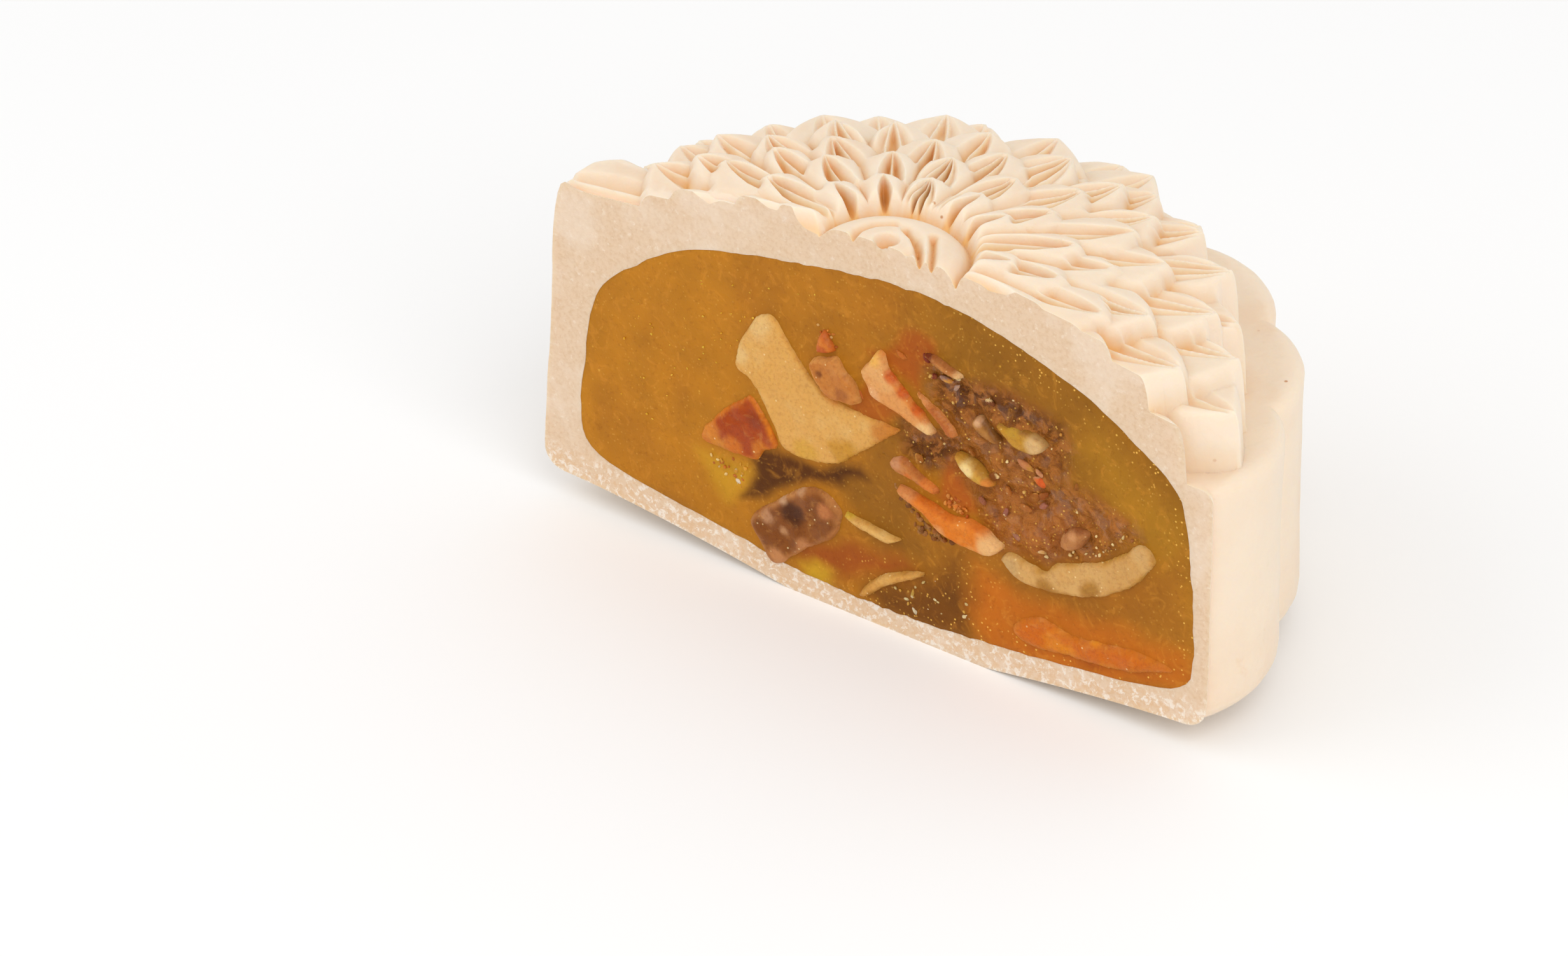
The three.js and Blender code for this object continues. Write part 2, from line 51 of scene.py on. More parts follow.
# The bare cake, in millimetres. The cake's axis is x = y = 0, the cut faces -Y,
# and z = 0 is the height of the cut's bottom corners.
cake = {
    "lobeRadius": 39.0,
    "grooveRadius": 36.9,
    "lobes": 15,
    "lobePhase": 1.1,         # degrees from +X to a groove
    "ledge": 25.6,            # height of the wall
    "ledgeRounding": 1.3,
    "baseRounding": 2.4,
    "flare": 0.8,
    "lean": 1.29,             # the base sits this far to the left
    "sag": 3.0,
    "cornerDrop": 0.4,
    "flatShare": 0.3,
    "flatStretch": 0.4,
    "axisFromMiddle": 1.35,   # from the middle of the skin's box
    "columns": 900,
    "topRows": 250,
    "lipRows": 6,
    "wallRows": 42,
    "cornerRows": 7,
    "baseRows": 26,
    "cutSpacing": 0.42,
    "triangles": 190000,
    # height and size of bumps
    "wallBumps": (0.16, 9),
    "wallGrain": (0.05, 2.2),
    "ledgeBumps": (0.05, 3),
    "cutGrain": (0.07, 1.1),
    "cutBumps": (0.1, 3.5),
}

origin = np.array([
    (skinLow.x + skinHigh.x) / 2 / mm + cake["axisFromMiddle"],
    skinLow.y / mm,
    skinLow.z / mm + cake["sag"] + cake["cornerDrop"],
])


def clamp(value, low=0.0, high=1.0):
    return np.minimum(high, np.maximum(low, value))


def blend(a, b, share):
    return a + (b - a) * share


def ease(value, start=0.0, end=1.0):
    share = clamp((value - start) / (end - start))
    return share * share * (3 - 2 * share)


def rgb(red, green, blue):
    # a screen colour, 0 to 255, as linear light
    channels = [channel / 255 for channel in (red, green, blue)]
    return tuple(c / 12.92 if c <= 0.04045 else ((c + 0.055) / 1.055) ** 2.4 for c in channels)


def softNoise(points, size, seed):
    # smooth random values from -1 to 1, with blobs about this size
    cells = np.asarray(points, float) / size
    low = np.floor(cells).astype(np.int64)
    part = cells - low
    part = part * part * (3 - 2 * part)
    total = np.zeros(len(cells))
    for corner in itertools.product((0, 1), repeat=3):
        index = low + corner
        code = index[:, 0] * 73856093 ^ index[:, 1] * 19349663 ^ index[:, 2] * 83492791 ^ seed * 50331653
        code = (code ^ (code >> 13)) * 1274126177
        value = ((code ^ (code >> 16)) & 0xFFFF) / 32767.5 - 1
        weight = np.where(corner, part, 1 - part).prod(axis=1)
        total += weight * value
    return total


def roughNoise(points, size, seed, layers=3):
    total = sum(softNoise(points, size / 2 ** n, seed + n) / 2 ** n for n in range(layers))
    return total / (2 - 2 ** (1 - layers))


def flatPoints(x, z):
    return np.stack([np.ravel(x), np.zeros(np.size(x)), np.ravel(z)], axis=1)


# Meshes

def newPiece(name, points, faces, materials, faceMaterial=None, sharpAt=50):
    mesh = bpy.data.meshes.new(name)
    faces = [np.asarray(group, np.int32) for group in faces if len(group)]
    points = (np.asarray(points, float) + origin) * mm
    mesh.vertices.add(len(points))
    mesh.vertices.foreach_set("co", points.ravel())
    corners = np.concatenate([group.ravel() for group in faces])
    sizes = np.concatenate([np.full(len(group), group.shape[1]) for group in faces])
    mesh.loops.add(len(corners))
    mesh.loops.foreach_set("vertex_index", corners)
    mesh.polygons.add(len(sizes))
    mesh.polygons.foreach_set("loop_start", np.concatenate([[0], np.cumsum(sizes)[:-1]]).astype(np.int32))
    mesh.polygons.foreach_set("loop_total", sizes.astype(np.int32))
    if faceMaterial is not None:
        mesh.polygons.foreach_set("material_index", np.asarray(faceMaterial, np.int32))
    mesh.update(calc_edges=True)
    for material in materials:
        mesh.materials.append(material)
    piece = bpy.data.objects.new(name, mesh)
    bpy.context.scene.collection.objects.link(piece)
    closeSeams(piece)
    smoothFaces(piece, sharpAt)
    return piece


def closeSeams(piece):
    work = bmesh.new()
    work.from_mesh(piece.data)
    bmesh.ops.remove_doubles(work, verts=work.verts, dist=0.002 * mm)
    bmesh.ops.dissolve_degenerate(work, edges=work.edges, dist=0.001 * mm)
    bmesh.ops.recalc_face_normals(work, faces=work.faces)
    work.to_mesh(piece.data)
    work.free()


def smoothFaces(piece, sharpAt):
    mesh = piece.data
    mesh.polygons.foreach_set("use_smooth", np.ones(len(mesh.polygons), bool))
    mesh.set_sharp_from_angle(angle=math.radians(sharpAt))


def applyModifier(piece, kind, **settings):
    modifier = piece.modifiers.new(kind.lower(), kind)
    for setting, value in settings.items():
        setattr(modifier, setting, value)
    with bpy.context.temp_override(object=piece, active_object=piece, selected_objects=[piece]):
        bpy.ops.object.modifier_apply(modifier=modifier.name)


def placesOf(piece):
    # the piece's points in the cake's millimetres
    co = np.zeros(len(piece.data.vertices) * 3)
    piece.data.vertices.foreach_get("co", co)
    return co.reshape(-1, 3) / mm - origin


def giveMask(piece, name, values):
    layer = piece.data.attributes.new(name, "FLOAT", "POINT")
    layer.data.foreach_set("value", np.asarray(values, np.float32))


def giveColour(piece, name, colours):
    layer = piece.data.attributes.new(name, "FLOAT_COLOR", "POINT")
    full = np.ones((len(colours), 4), np.float32)
    full[:, :3] = clamp(colours)
    layer.data.foreach_set("color", full.ravel())


def gridFaces(start, columns, rows, closed=False):
    # quads over a grid whose points are numbered column by column
    across = np.arange(columns if closed else columns - 1)
    along = np.arange(rows - 1)
    c, r = np.meshgrid(across, along, indexing="ij")
    following = (c + 1) % columns
    here = c * rows + r
    beside = following * rows + r
    quads = np.stack([here, here + 1, beside + 1, beside], axis=-1)
    return start + quads.reshape(-1, 4)


def curveThrough(outline, spacing, closed=True):
    # a smooth line through the outline's points, evenly spaced
    points = np.asarray(outline, float)
    count = len(points)
    parts = []
    spans = count if closed else count - 1
    for i in range(spans):
        if closed:
            p0, p1, p2, p3 = (points[(i + k) % count] for k in (-1, 0, 1, 2))
        else:
            p0, p1, p2, p3 = (points[min(max(i + k, 0), count - 1)] for k in (-1, 0, 1, 2))
        t = np.linspace(0, 1, 16, endpoint=False)[:, None]
        parts.append(0.5 * (2 * p1 + (p2 - p0) * t + (2 * p0 - 5 * p1 + 4 * p2 - p3) * t ** 2
                            + (3 * p1 - p0 - 3 * p2 + p3) * t ** 3))
    dense = np.concatenate(parts + [points[:1] if closed else points[-1:]])
    travelled = np.concatenate([[0], np.cumsum(np.hypot(*np.diff(dense, axis=0).T))])
    steps = max(6, int(round(travelled[-1] / spacing)))
    wanted = np.linspace(0, travelled[-1], steps + 1)
    line = np.stack([np.interp(wanted, travelled, dense[:, k]) for k in (0, 1)], axis=1)
    return line[:-1] if closed else line


def isInside(x, z, outline):
    # even-odd rule
    inside = np.zeros(np.shape(x), bool)
    for (ax, az), (bx, bz) in zip(outline, np.roll(outline, -1, axis=0)):
        crosses = (az > z) != (bz > z)
        at = ax + (z - az) / (bz - az if bz != az else 1e-9) * (bx - ax)
        inside ^= crosses & (x < at)
    return inside


def distanceTo(x, z, line, closed=True):
    # shortest way from each point to a line
    starts = np.asarray(line, float)
    ends = np.roll(starts, -1, axis=0)
    if not closed:
        starts, ends = starts[:-1], ends[:-1]
    best = np.full(np.shape(x), 1e9)
    for (ax, az), (bx, bz) in zip(starts, ends):
        dx, dz = bx - ax, bz - az
        along = clamp(((x - ax) * dx + (z - az) * dz) / max(dx * dx + dz * dz, 1e-12))
        best = np.minimum(best, np.hypot(x - ax - along * dx, z - az - along * dz))
    return best


def within(x, z, outline, soft):
    # 1 inside an outline, 0 outside, fading over a soft edge
    reach = distanceTo(x, z, outline)
    signed = np.where(isInside(x, z, outline), reach, -reach)
    return ease(signed, -soft, soft)


def fillOutline(loops, spacing, seed):
    # triangles over the area between closed loops, with scattered inner points
    outer = loops[0]
    lowX, lowZ = outer.min(axis=0)
    highX, highZ = outer.max(axis=0)
    rows = np.arange(lowZ, highZ, spacing * 0.87)
    inner = []
    for n, z in enumerate(rows):
        x = np.arange(lowX + (n % 2) * spacing / 2, highX, spacing)
        inner.append(np.stack([x, np.full(len(x), z)], axis=1))
    inner = np.concatenate(inner)
    inner += np.random.RandomState(seed).uniform(-0.2, 0.2, inner.shape) * spacing
    keep = isInside(inner[:, 0], inner[:, 1], outer)
    for loop in loops[1:]:
        keep &= ~isInside(inner[:, 0], inner[:, 1], loop)
    for loop in loops:
        keep &= distanceTo(inner[:, 0], inner[:, 1], loop) > spacing * 0.45
    edges = []
    start = 0
    for loop in loops:
        edges += [(start + i, start + (i + 1) % len(loop)) for i in range(len(loop))]
        start += len(loop)
    points = np.concatenate(list(loops) + [inner[keep]])
    made = delaunay_2d_cdt([Vector(p) for p in points], edges, [], 0, 1e-5)
    flat = np.array([tuple(p) for p in made[0]])
    faces = np.array([face for face in made[2] if len(face) == 3])
    centre = flat[faces].mean(axis=1)
    inside = isInside(centre[:, 0], centre[:, 1], outer)
    for loop in loops[1:]:
        inside &= ~isInside(centre[:, 0], centre[:, 1], loop)
    return flat, faces[inside]


# Materials

class Wire:
    # a socket that can be used in sums
    def __init__(self, paint, socket):
        self.paint = paint
        self.socket = socket

    def sum(self, operation, first, second):
        return self.paint.node("ShaderNodeMath", {"operation": operation}, {0: first, 1: second})

    def __add__(self, other):
        return self.sum("ADD", self, other)

    def __radd__(self, other):
        return self.sum("ADD", other, self)

    def __sub__(self, other):
        return self.sum("SUBTRACT", self, other)

    def __rsub__(self, other):
        return self.sum("SUBTRACT", other, self)

    def __mul__(self, other):
        return self.sum("MULTIPLY", self, other)

    def __rmul__(self, other):
        return self.sum("MULTIPLY", other, self)


class Paint:
    # a material under construction
    def __init__(self, name, shader):
        self.material = bpy.data.materials.new(name)
        self.material.use_nodes = True
        self.tree = self.material.node_tree
        self.shader = self.tree.nodes["Principled BSDF"]
        self.feed(self.shader, shader)
        place = self.node("ShaderNodeTexCoord", output="Object")
        self.place = self.node("ShaderNodeVectorMath", {"operation": "SCALE"}, {0: place, "Scale": 1 / mm})

    def feed(self, made, sockets):
        for key, value in sockets.items():
            if isinstance(value, Wire):
                self.tree.links.new(value.socket, made.inputs[key])
            else:
                made.inputs[key].default_value = value

    def node(self, kind, settings=None, sockets=None, output=0):
        made = self.tree.nodes.new(kind)
        for setting, value in (settings or {}).items():
            setattr(made, setting, value)
        self.feed(made, sockets or {})
        return Wire(self, made.outputs[output])

    def noise(self, size, detail=3, roughness=0.5, distortion=0):
        return self.node("ShaderNodeTexNoise", {}, {
            "Vector": self.place, "Scale": 1 / size, "Detail": detail, "Roughness": roughness,
            "Distortion": distortion})

    def cells(self, size):
        return self.node("ShaderNodeTexVoronoi", {}, {"Vector": self.place, "Scale": 1 / size})

    def mask(self, name):
        return self.node("ShaderNodeAttribute", {"attribute_name": name}, output="Fac")

    def colourOf(self, name):
        return self.node("ShaderNodeAttribute", {"attribute_name": name}, output="Color")

    def between(self, value, low, high):
        return self.node("ShaderNodeMapRange", {"interpolation_type": "SMOOTHSTEP"}, {
            "Value": value, "From Min": low, "From Max": high})

    def mix(self, share, first, second, kind="MIX"):
        full = [c if isinstance(c, Wire) else (*c, 1) for c in (first, second)]
        return self.node("ShaderNodeMix", {"data_type": "RGBA", "blend_type": kind}, {
            0: share, 6: full[0], 7: full[1]}, output=2)

    def bump(self, height, depth, before=None):
        # depth in millimetres
        sockets = {"Height": height, "Strength": 1, "Distance": depth * mm}
        if before is not None:
            sockets["Normal"] = before
        return self.node("ShaderNodeBump", {}, sockets)

    def finish(self, colour, roughness, normal):
        self.feed(self.shader, {"Base Color": colour, "Roughness": roughness, "Normal": normal})
        return self.material


pasteLooks = {
    "pale": rgb(238, 219, 195),
    "warm": rgb(236, 211, 183),
    # painted highlight: lighter colour on raised crests and, at a fixed share, on the wall
    "crest": rgb(243, 225, 204),
    "stain": rgb(226, 188, 146),
    # painted shade: a warm, darker colour laid into hollows, creases and the feet of walls
    "hollow": rgb(238, 184, 106),
    "speck": rgb(190, 124, 66),
    "cut": rgb(228, 200, 170),
    "cutDark": rgb(220, 188, 154),
    "cutPale": rgb(240, 222, 202),
    "flour": rgb(246, 235, 222),
    "softLight": (1.3, 1.0, 0.6),
}


def mouldedPaste():
    look = pasteLooks
    paint = Paint("moulded_paste", {
        "Subsurface Weight": 0.5, "Subsurface Radius": look["softLight"], "Subsurface Scale": mm,
        "Specular IOR Level": 0.3})
    colour = paint.mix(paint.between(paint.noise(14, 4, 0.6), 0.4, 0.65), look["pale"], look["warm"])
    stains = paint.between(paint.noise(5, 5, 0.6, 0.4), 0.6, 0.72)
    stained = paint.between(paint.noise(17), 0.5, 0.6)
    colour = paint.mix(stains * stained * 0.6, colour, look["stain"])
    # painted highlight on raised crests and on the wall, by the crest mask
    colour = paint.mix(paint.mask("crest") * 0.8, colour, look["crest"])
    # painted shade in hollows and creases, by the hollow mask
    colour = paint.mix(paint.mask("hollow") * 0.9, colour, look["hollow"])
    specks = 1 - paint.between(paint.cells(2.6), 0.04, 0.09)
    colour = paint.mix(specks * paint.between(paint.noise(6), 0.6, 0.66) * 0.8, colour, look["speck"])
    roughness = 0.5 + paint.noise(2, 3) * 0.2
    normal = paint.bump(paint.noise(0.5, 4, 0.6), 0.05)
    normal = paint.bump(paint.noise(4, 3, 0.5), 0.25, normal)
    return paint.finish(colour, roughness, normal)


def cutPaste():
    look = pasteLooks
    paint = Paint("cut_paste", {
        "Subsurface Weight": 0.2, "Subsurface Radius": look["softLight"], "Subsurface Scale": mm,
        "Specular IOR Level": 0.25})
    grain = paint.noise(0.45, 4, 0.7)
    colour = paint.mix(paint.between(grain, 0.42, 0.7), look["cut"], look["cutDark"])
    colour = paint.mix(paint.between(paint.noise(0.8, 3, 0.7), 0.56, 0.7) * 0.6, colour, look["cutPale"])
    colour = paint.mix(paint.between(paint.noise(7, 4, 0.6), 0.47, 0.67) * 0.45, colour, look["cutPale"])
    base = paint.mask("baseBand")
    mottle = paint.between(paint.noise(0.9, 5, 0.75), 0.44, 0.58)
    colour = paint.mix(base * mottle * 0.55, colour, look["stain"])
    flour = paint.between(paint.noise(0.8, 4, 0.75, 0.4), 0.51, 0.6)
    colour = paint.mix(base * flour * 0.8, colour, look["flour"])
    normal = paint.bump(grain, 0.1)
    return paint.finish(colour, 0.7 + grain * 0.2, normal)


# The skin

petalRings = [
    # tip: radius at the foot of the tips, crest: height of the rim at the tip,
    # wall: width of the outer slope, arch and round: length and fullness of the end,
    # hollow: depth, width and length, petals: bearing in degrees, how much farther
    # out the tip is, how many ribs run along the hollow, and 1 for a bead on the tip
    {"tip": 12.7, "crest": 38.8, "wall": 1.2, "arch": 3.0, "round": 4.0, "hollow": (2.5, 1.0, 2.6),
     "petals": [(-13, 0, 0, 0), (18, 0.2, 0, 0), (58, 0, 0, 0), (80, 0, 0, 0), (107, 0, 3, 0),
                (129, 0, 0, 0), (151, 0, 0, 0), (182, 0, 0, 0)]},
    {"tip": 18.2, "crest": 38.2, "wall": 1.3, "arch": 4.4, "round": 2.4, "hollow": (2.0, 1.3, 3.6),
     "petals": [(-4.5, 0, 1, 0), (16.7, -0.4, 1, 1), (36, 0, 1, 1), (58, -0.8, 1, 1), (83.5, 0, 2, 1),
                (106.7, 0, 3, 0), (125.3, 0, 1, 0), (146.5, 0, 1, 0), (166.9, 0, 1, 1),
                (183, 0, 0, 0)]},
    {"tip": 22.6, "crest": 37.4, "wall": 1.3, "arch": 5.0, "round": 2.0, "hollow": (1.8, 1.5, 4.5),
     "petals": [(8, 0.7, 1, 1), (29, -0.8, 1, 1), (46, 1.6, 1, 0), (70, 0, 2, 1), (96, 0, 2, 1),
                (115, 0, 2, 0), (140.5, 0.3, 2, 1), (156, 0, 1, 1), (168, 1.2, 1, 0)]},
    {"tip": 26.8, "crest": 36.6, "wall": 1.3, "arch": 5.8, "round": 1.8, "hollow": (1.5, 1.7, 5.0),
     "petals": [(-5, 0, 0, 0), (14.8, 0, 2, 0), (35, 0, 1, 0), (55, 0.5, 2, 1), (70, 0.4, 2, 0),
                (85, 0, 3, 0), (105, 0, 1, 0), (125.4, 0, 2, 0), (137, 0.6, 2, 0), (153, -0.2, 2, 0),
                (169, 0.5, 1, 0), (182, -0.8, 0, 1)]},
    {"tip": 31.9, "crest": 34.7, "wall": 1.3, "arch": 6.8, "round": 1.7, "hollow": (1.2, 1.9, 5.5),
     "petals": [(6, 0, 2, 1), (25, 0, 2, 0), (39.5, 1.2, 3, 1), (53, -0.2, 2, 0), (69, -1, 2, 0),
                (95, 0, 1, 0), (116, 0, 2, 0), (138, 0, 1, 0), (158, 0, 1, 0), (172, -0.4, 1, 0)]},
    {"tip": 34.8, "crest": 32.8, "wall": 1.3, "arch": 6.8, "round": 1.7, "hollow": (1.1, 1.9, 5.5),
     "petals": [(17.6, 0.3, 2, 0), (28, -1, 1, 0), (61, -1.4, 1, 0), (79, 0, 1, 0), (98, 0, 1, 0),
                (110, 0, 1, 0), (128, 0, 1, 0), (146, 0, 1, 0), (162, 0, 1, 0), (178.5, 5.5, 1, 0)]},
    {"tip": 37.0, "crest": 30.8, "wall": 1.3, "arch": 5.6, "round": 1.8, "hollow": (1.0, 1.8, 4.0),
     "petals": [(-3, 0.2, 0, 0), (8, 0, 1, 0), (88, 0, 1, 0), (120, -0.4, 1, 0), (140, -0.4, 1, 0),
                (156, 0.5, 1, 0), (167, 0.8, 0, 0), (181, 1.2, 0, 0)]},
]
petals = {
    "rise": 0.1,             # per millimetre in from the tip
    "dome": 0.6,
    "spread": 1.3,           # of each petal over the middle between two
    "valley": 0.6,           # depth of the crease between two in one ring
    "widest": 11,            # degrees from a petal's middle to its side
    "ribShare": 0.7,         # of the hollow's depth
    "ribWidth": 0.22,
    "beadRadius": 0.52,
    "beadLift": 0.2,
    "beadBack": 0.9,         # of the outer slope, in from the tip
    "unevenCrest": 0.12,
    "wander": (0.25, 5),     # how far outlines stray across a radius, and over what size
    "swerve": (0.2, 6),      # the same along a ring
    "tipGap": 1.5,           # least ledge beyond a tip
    "nearCut": 171,          # degrees from which the tips reach the wall
    "droopBack": (0.045, 12),       # per millimetre, and from how far behind the cut
    "droopLeft": (0.035, 3, 4),     # per millimetre, from how far left, how far it fades
    "droopOver": 3,          # height above the ledge over which it sets in
    "creaseFrom": 0.3,       # of the length of the end
    "hollowFrom": 0.8,       # of the outer slope, in from the tip
    "hollowFan": (0.75, 0.25),      # width without ribs, and more for each rib
    "hollowReach": 0.9,      # over which the painted shade of hollows and highlight of crests is judged
    "seed": 5,
}
button = {
    "centre": (0.2, -0.2),
    "radius": 7.8,
    "edge": 2.2,             # width of the rounded rim
    "crest": 38.8,
    "valley": 37.0,          # height of the trough round it
    "holeCentre": (-0.8, 1.1),
    "holeDepth": 1.7,
    "grooveRadius": 3.2,
    "grooveDepth": 0.3,
    "grooveWidth": 0.4,
    "troughRise": 3,         # from the trough out to the petals
    "troughWidth": 2,
    "sunkRim": 2,            # how far the rim starts below the crest
    "bulge": 0.008,
    "hole": (0.35, 1.5),     # radii between which its side rises
    "shadeInHoles": 0.5,         # painted shade in the hole, the slots and the groove
    "lobe": (6.2, 1.8, 0.3),        # x, y and height of a low swelling
    "slotWidth": 0.34,
    # slots between the folds, each a line of x, y and a depth
    "slots": [
        ([(-0.7, 4.0), (1.0, 3.1), (2.5, 1.6), (3.8, -0.2)], 1.1),
        ([(2.3, 4.3), (3.1, 3.0), (4.2, 1.2), (5.4, -0.6)], 1.0),
        ([(-3.7, -0.5), (-4.1, 1.0), (-3.6, 2.7), (-2.2, 4.2)], 0.5),
    ],
}


def grooveShare(theta):
    # 0 at a groove between lobes, 1 on a lobe's crest
    turns = (theta - math.radians(cake["lobePhase"])) / (2 * math.pi / cake["lobes"])
    return 2 * np.abs(turns - np.round(turns))


def lobedRadius(theta):
    across = 1 - grooveShare(theta)
    return cake["grooveRadius"] + (cake["lobeRadius"] - cake["grooveRadius"]) * (1 - across ** 2) ** 0.75


def leaning(z):
    return cake["lean"] * (z - cake["ledge"]) / cake["ledge"]


def baseHeight(x, y):
    out = np.hypot(x, cake["flatStretch"] * y) / cake["lobeRadius"]
    rise = clamp((out - cake["flatShare"]) / (1 - cake["flatShare"]))
    return cake["sag"] * (1 - (1 - rise) ** 1.5) - cake["sag"] - cake["cornerDrop"]


def topRelief(radius, theta):
    # height of the moulded top, and the painted shade of its hollows at each point
    x, y = radius * np.cos(theta), radius * np.sin(theta)
    place = np.stack([x, y, np.zeros_like(radius)], axis=-1).reshape(-1, 3)
    shape = radius.shape
    wander, swerve = petals["wander"], petals["swerve"]
    radius = radius + wander[0] * softNoise(place, wander[1], 11).reshape(shape)
    stray = swerve[0] * softNoise(place, swerve[1], 12).reshape(shape)
    theta = theta + stray / np.maximum(radius, 4)
    z = np.full(shape, cake["ledge"])
    deep = np.zeros(shape)
    draw = np.random.RandomState(petals["seed"])
    widest = math.radians(petals["widest"])
    nearCut = math.radians(petals["nearCut"])
    for look in reversed(petalRings):
        bearings, farther, ribs, beads = np.array(look["petals"]).T
        middle = np.radians(bearings)
        which = np.searchsorted((middle[1:] + middle[:-1]) / 2, theta)
        between = np.diff(middle) / 2
        after = np.minimum(np.append(between, widest), widest)
        before = np.minimum(np.insert(between, 0, widest), widest)
        uneven = draw.uniform(-1, 1, (2, len(middle)))[0]
        tip = look["tip"] + farther[which]
        tip = np.where(theta < nearCut, np.minimum(tip, lobedRadius(theta) - petals["tipGap"]), tip)
        crest = (look["crest"] + petals["unevenCrest"] * uneven)[which]
        turned = theta - middle[which]
        half = np.where(turned > 0, after[which], before[which])
        back = tip - radius
        along = clamp(back / look["arch"])
        sideways = radius * np.abs(turned)
        halfWidth = petals["spread"] * radius * half * (1 - (1 - along) ** look["round"])
        slope = (petals["spread"] * tip * half * look["round"]
                 * (1 - along) ** (look["round"] - 1) / look["arch"])
        inside = np.where(back < 0, 0, (halfWidth - sideways) / np.hypot(1, slope))
        cover = 1 - (1 - clamp(inside / look["wall"])) ** 3
        drop, dark = petalHollow(look, back, radius * turned, ribs[which])
        share = clamp(sideways / (radius * half + 0.01))
        dome = petals["dome"] * (1 - share ** 2)
        crease = petals["valley"] * clamp(1 - np.abs(radius * half - sideways)) ** 2
        crease = crease * (along > petals["creaseFrom"])
        height = crest + petals["rise"] * back + dome - drop - crease
        at = tip - petals["beadBack"] * look["wall"]
        away = np.hypot(radius * np.cos(theta) - at * np.cos(middle[which]),
                        radius * np.sin(theta) - at * np.sin(middle[which]))
        ball = np.sqrt(np.maximum(petals["beadRadius"] ** 2 - away ** 2, 0)) * beads[which]
        height = np.where(ball > 0, np.maximum(height, crest + petals["beadLift"] + ball), height)
        z = blend(z, height, cover)
        # painted shade of the hollows, each ring covering those below
        deep = blend(deep, dark, cover)
    # the top droops a little to the back, and to the left beside the cut
    x, y = radius * np.cos(theta), radius * np.sin(theta)
    back, left = petals["droopBack"], petals["droopLeft"]
    droop = back[0] * np.maximum(y - back[1], 0)
    droop += left[0] * np.maximum(-x - left[1], 0) * np.exp(-(y / left[2]) ** 2)
    z = z - droop * clamp((z - cake["ledge"]) / petals["droopOver"])
    return buttonRelief(radius, theta, z, deep)


def sunkenness(radius, theta):
    # how far below its surroundings the top lies, in millimetres; crests are below 0; also the painted
    # shade of the hollows
    x, y = radius * np.cos(theta), radius * np.sin(theta)
    here, deep = topRelief(radius, theta)
    around = np.zeros_like(here)
    for turn in np.linspace(0, 2 * math.pi, 8, endpoint=False):
        nextX = x + petals["hollowReach"] * math.cos(turn)
        nextY = y + petals["hollowReach"] * math.sin(turn)
        around += topRelief(np.hypot(nextX, nextY), np.arctan2(nextY, nextX))[0] / 8
    return around - here, deep


def petalHollow(look, back, sideways, ribs):
    # a hollow that fans out from the tip, with thin ribs along it
    depth, width, length = look["hollow"]
    plain, more = petals["hollowFan"]
    grown = clamp((back - petals["hollowFrom"] * look["wall"]) / length)
    wide = width * (plain + more * ribs) * grown ** 0.6 + 0.02
    trough = clamp(1 - (sideways / wide) ** 2) ** 1.4
    drop = depth * clamp(2.2 * grown) ** 0.7 * trough
    step = 2 * wide / (ribs + 1)
    place = sideways / step + (ribs + 1) / 2
    nearest = np.clip(np.round(place), 1, np.maximum(ribs, 1))
    thick = np.minimum(petals["ribWidth"], 0.32 * step)
    rib = np.exp(-((place - nearest) * step / thick) ** 2) * (ribs > 0)
    drop = drop * (1 - petals["ribShare"] * rib)
    # the second value is painted shade, stronger where the hollow is deeper
    return drop, clamp(drop / 1.6 - 0.2)


def slotDepth(x, y, line, depth):
    # a tapering slot along a line
    reach = distanceTo(x, y, np.array(line), closed=False)
    return depth * np.exp(-(reach / button["slotWidth"]) ** 2)


def buttonRelief(radius, theta, z, deep):
    x, y = radius * np.cos(theta), radius * np.sin(theta)
    out = np.hypot(x - button["centre"][0], y - button["centre"][1])
    up = clamp((out - button["radius"]) / button["troughWidth"])
    rising = button["valley"] + button["troughRise"] * (1 - (1 - up) ** 2)
    middle, soft = 38, 0.25  # the lower of the two heights, with a rounded edge
    z = middle - soft * np.log(np.exp((middle - z) / soft) + np.exp((middle - rising) / soft))
    rim = clamp((button["radius"] - out) / button["edge"])
    cover = 1 - (1 - rim) ** 2.4
    fromHole = np.hypot(x - button["holeCentre"][0], y - button["holeCentre"][1])
    hole = 1 - ease(fromHole, *button["hole"])
    groove = np.exp(-((fromHole - button["grooveRadius"]) / button["grooveWidth"]) ** 2)
    slots = np.zeros_like(x)
    for line, depth in button["slots"]:
        slots = np.maximum(slots, slotDepth(x, y, line, depth))
    lobeX, lobeY, lobeHeight = button["lobe"]
    lobe = lobeHeight * np.exp(-((x - lobeX) ** 2 + (y - lobeY) ** 2) / 5)
    height = button["crest"] - button["bulge"] * out ** 2 + lobe
    height = height - button["grooveDepth"] * groove - button["holeDepth"] * hole - slots
    inside = out < button["radius"]
    grown = blend(button["crest"] - button["sunkRim"], height, cover)
    z = np.where(inside, np.maximum(grown, np.where(rim < 0.4, z, 0)), z)
    # painted shade in the hole, the slots and the groove
    deep = np.where(inside, button["shadeInHoles"] * clamp(hole + slots + 0.2 * groove), deep)
    return z, deep


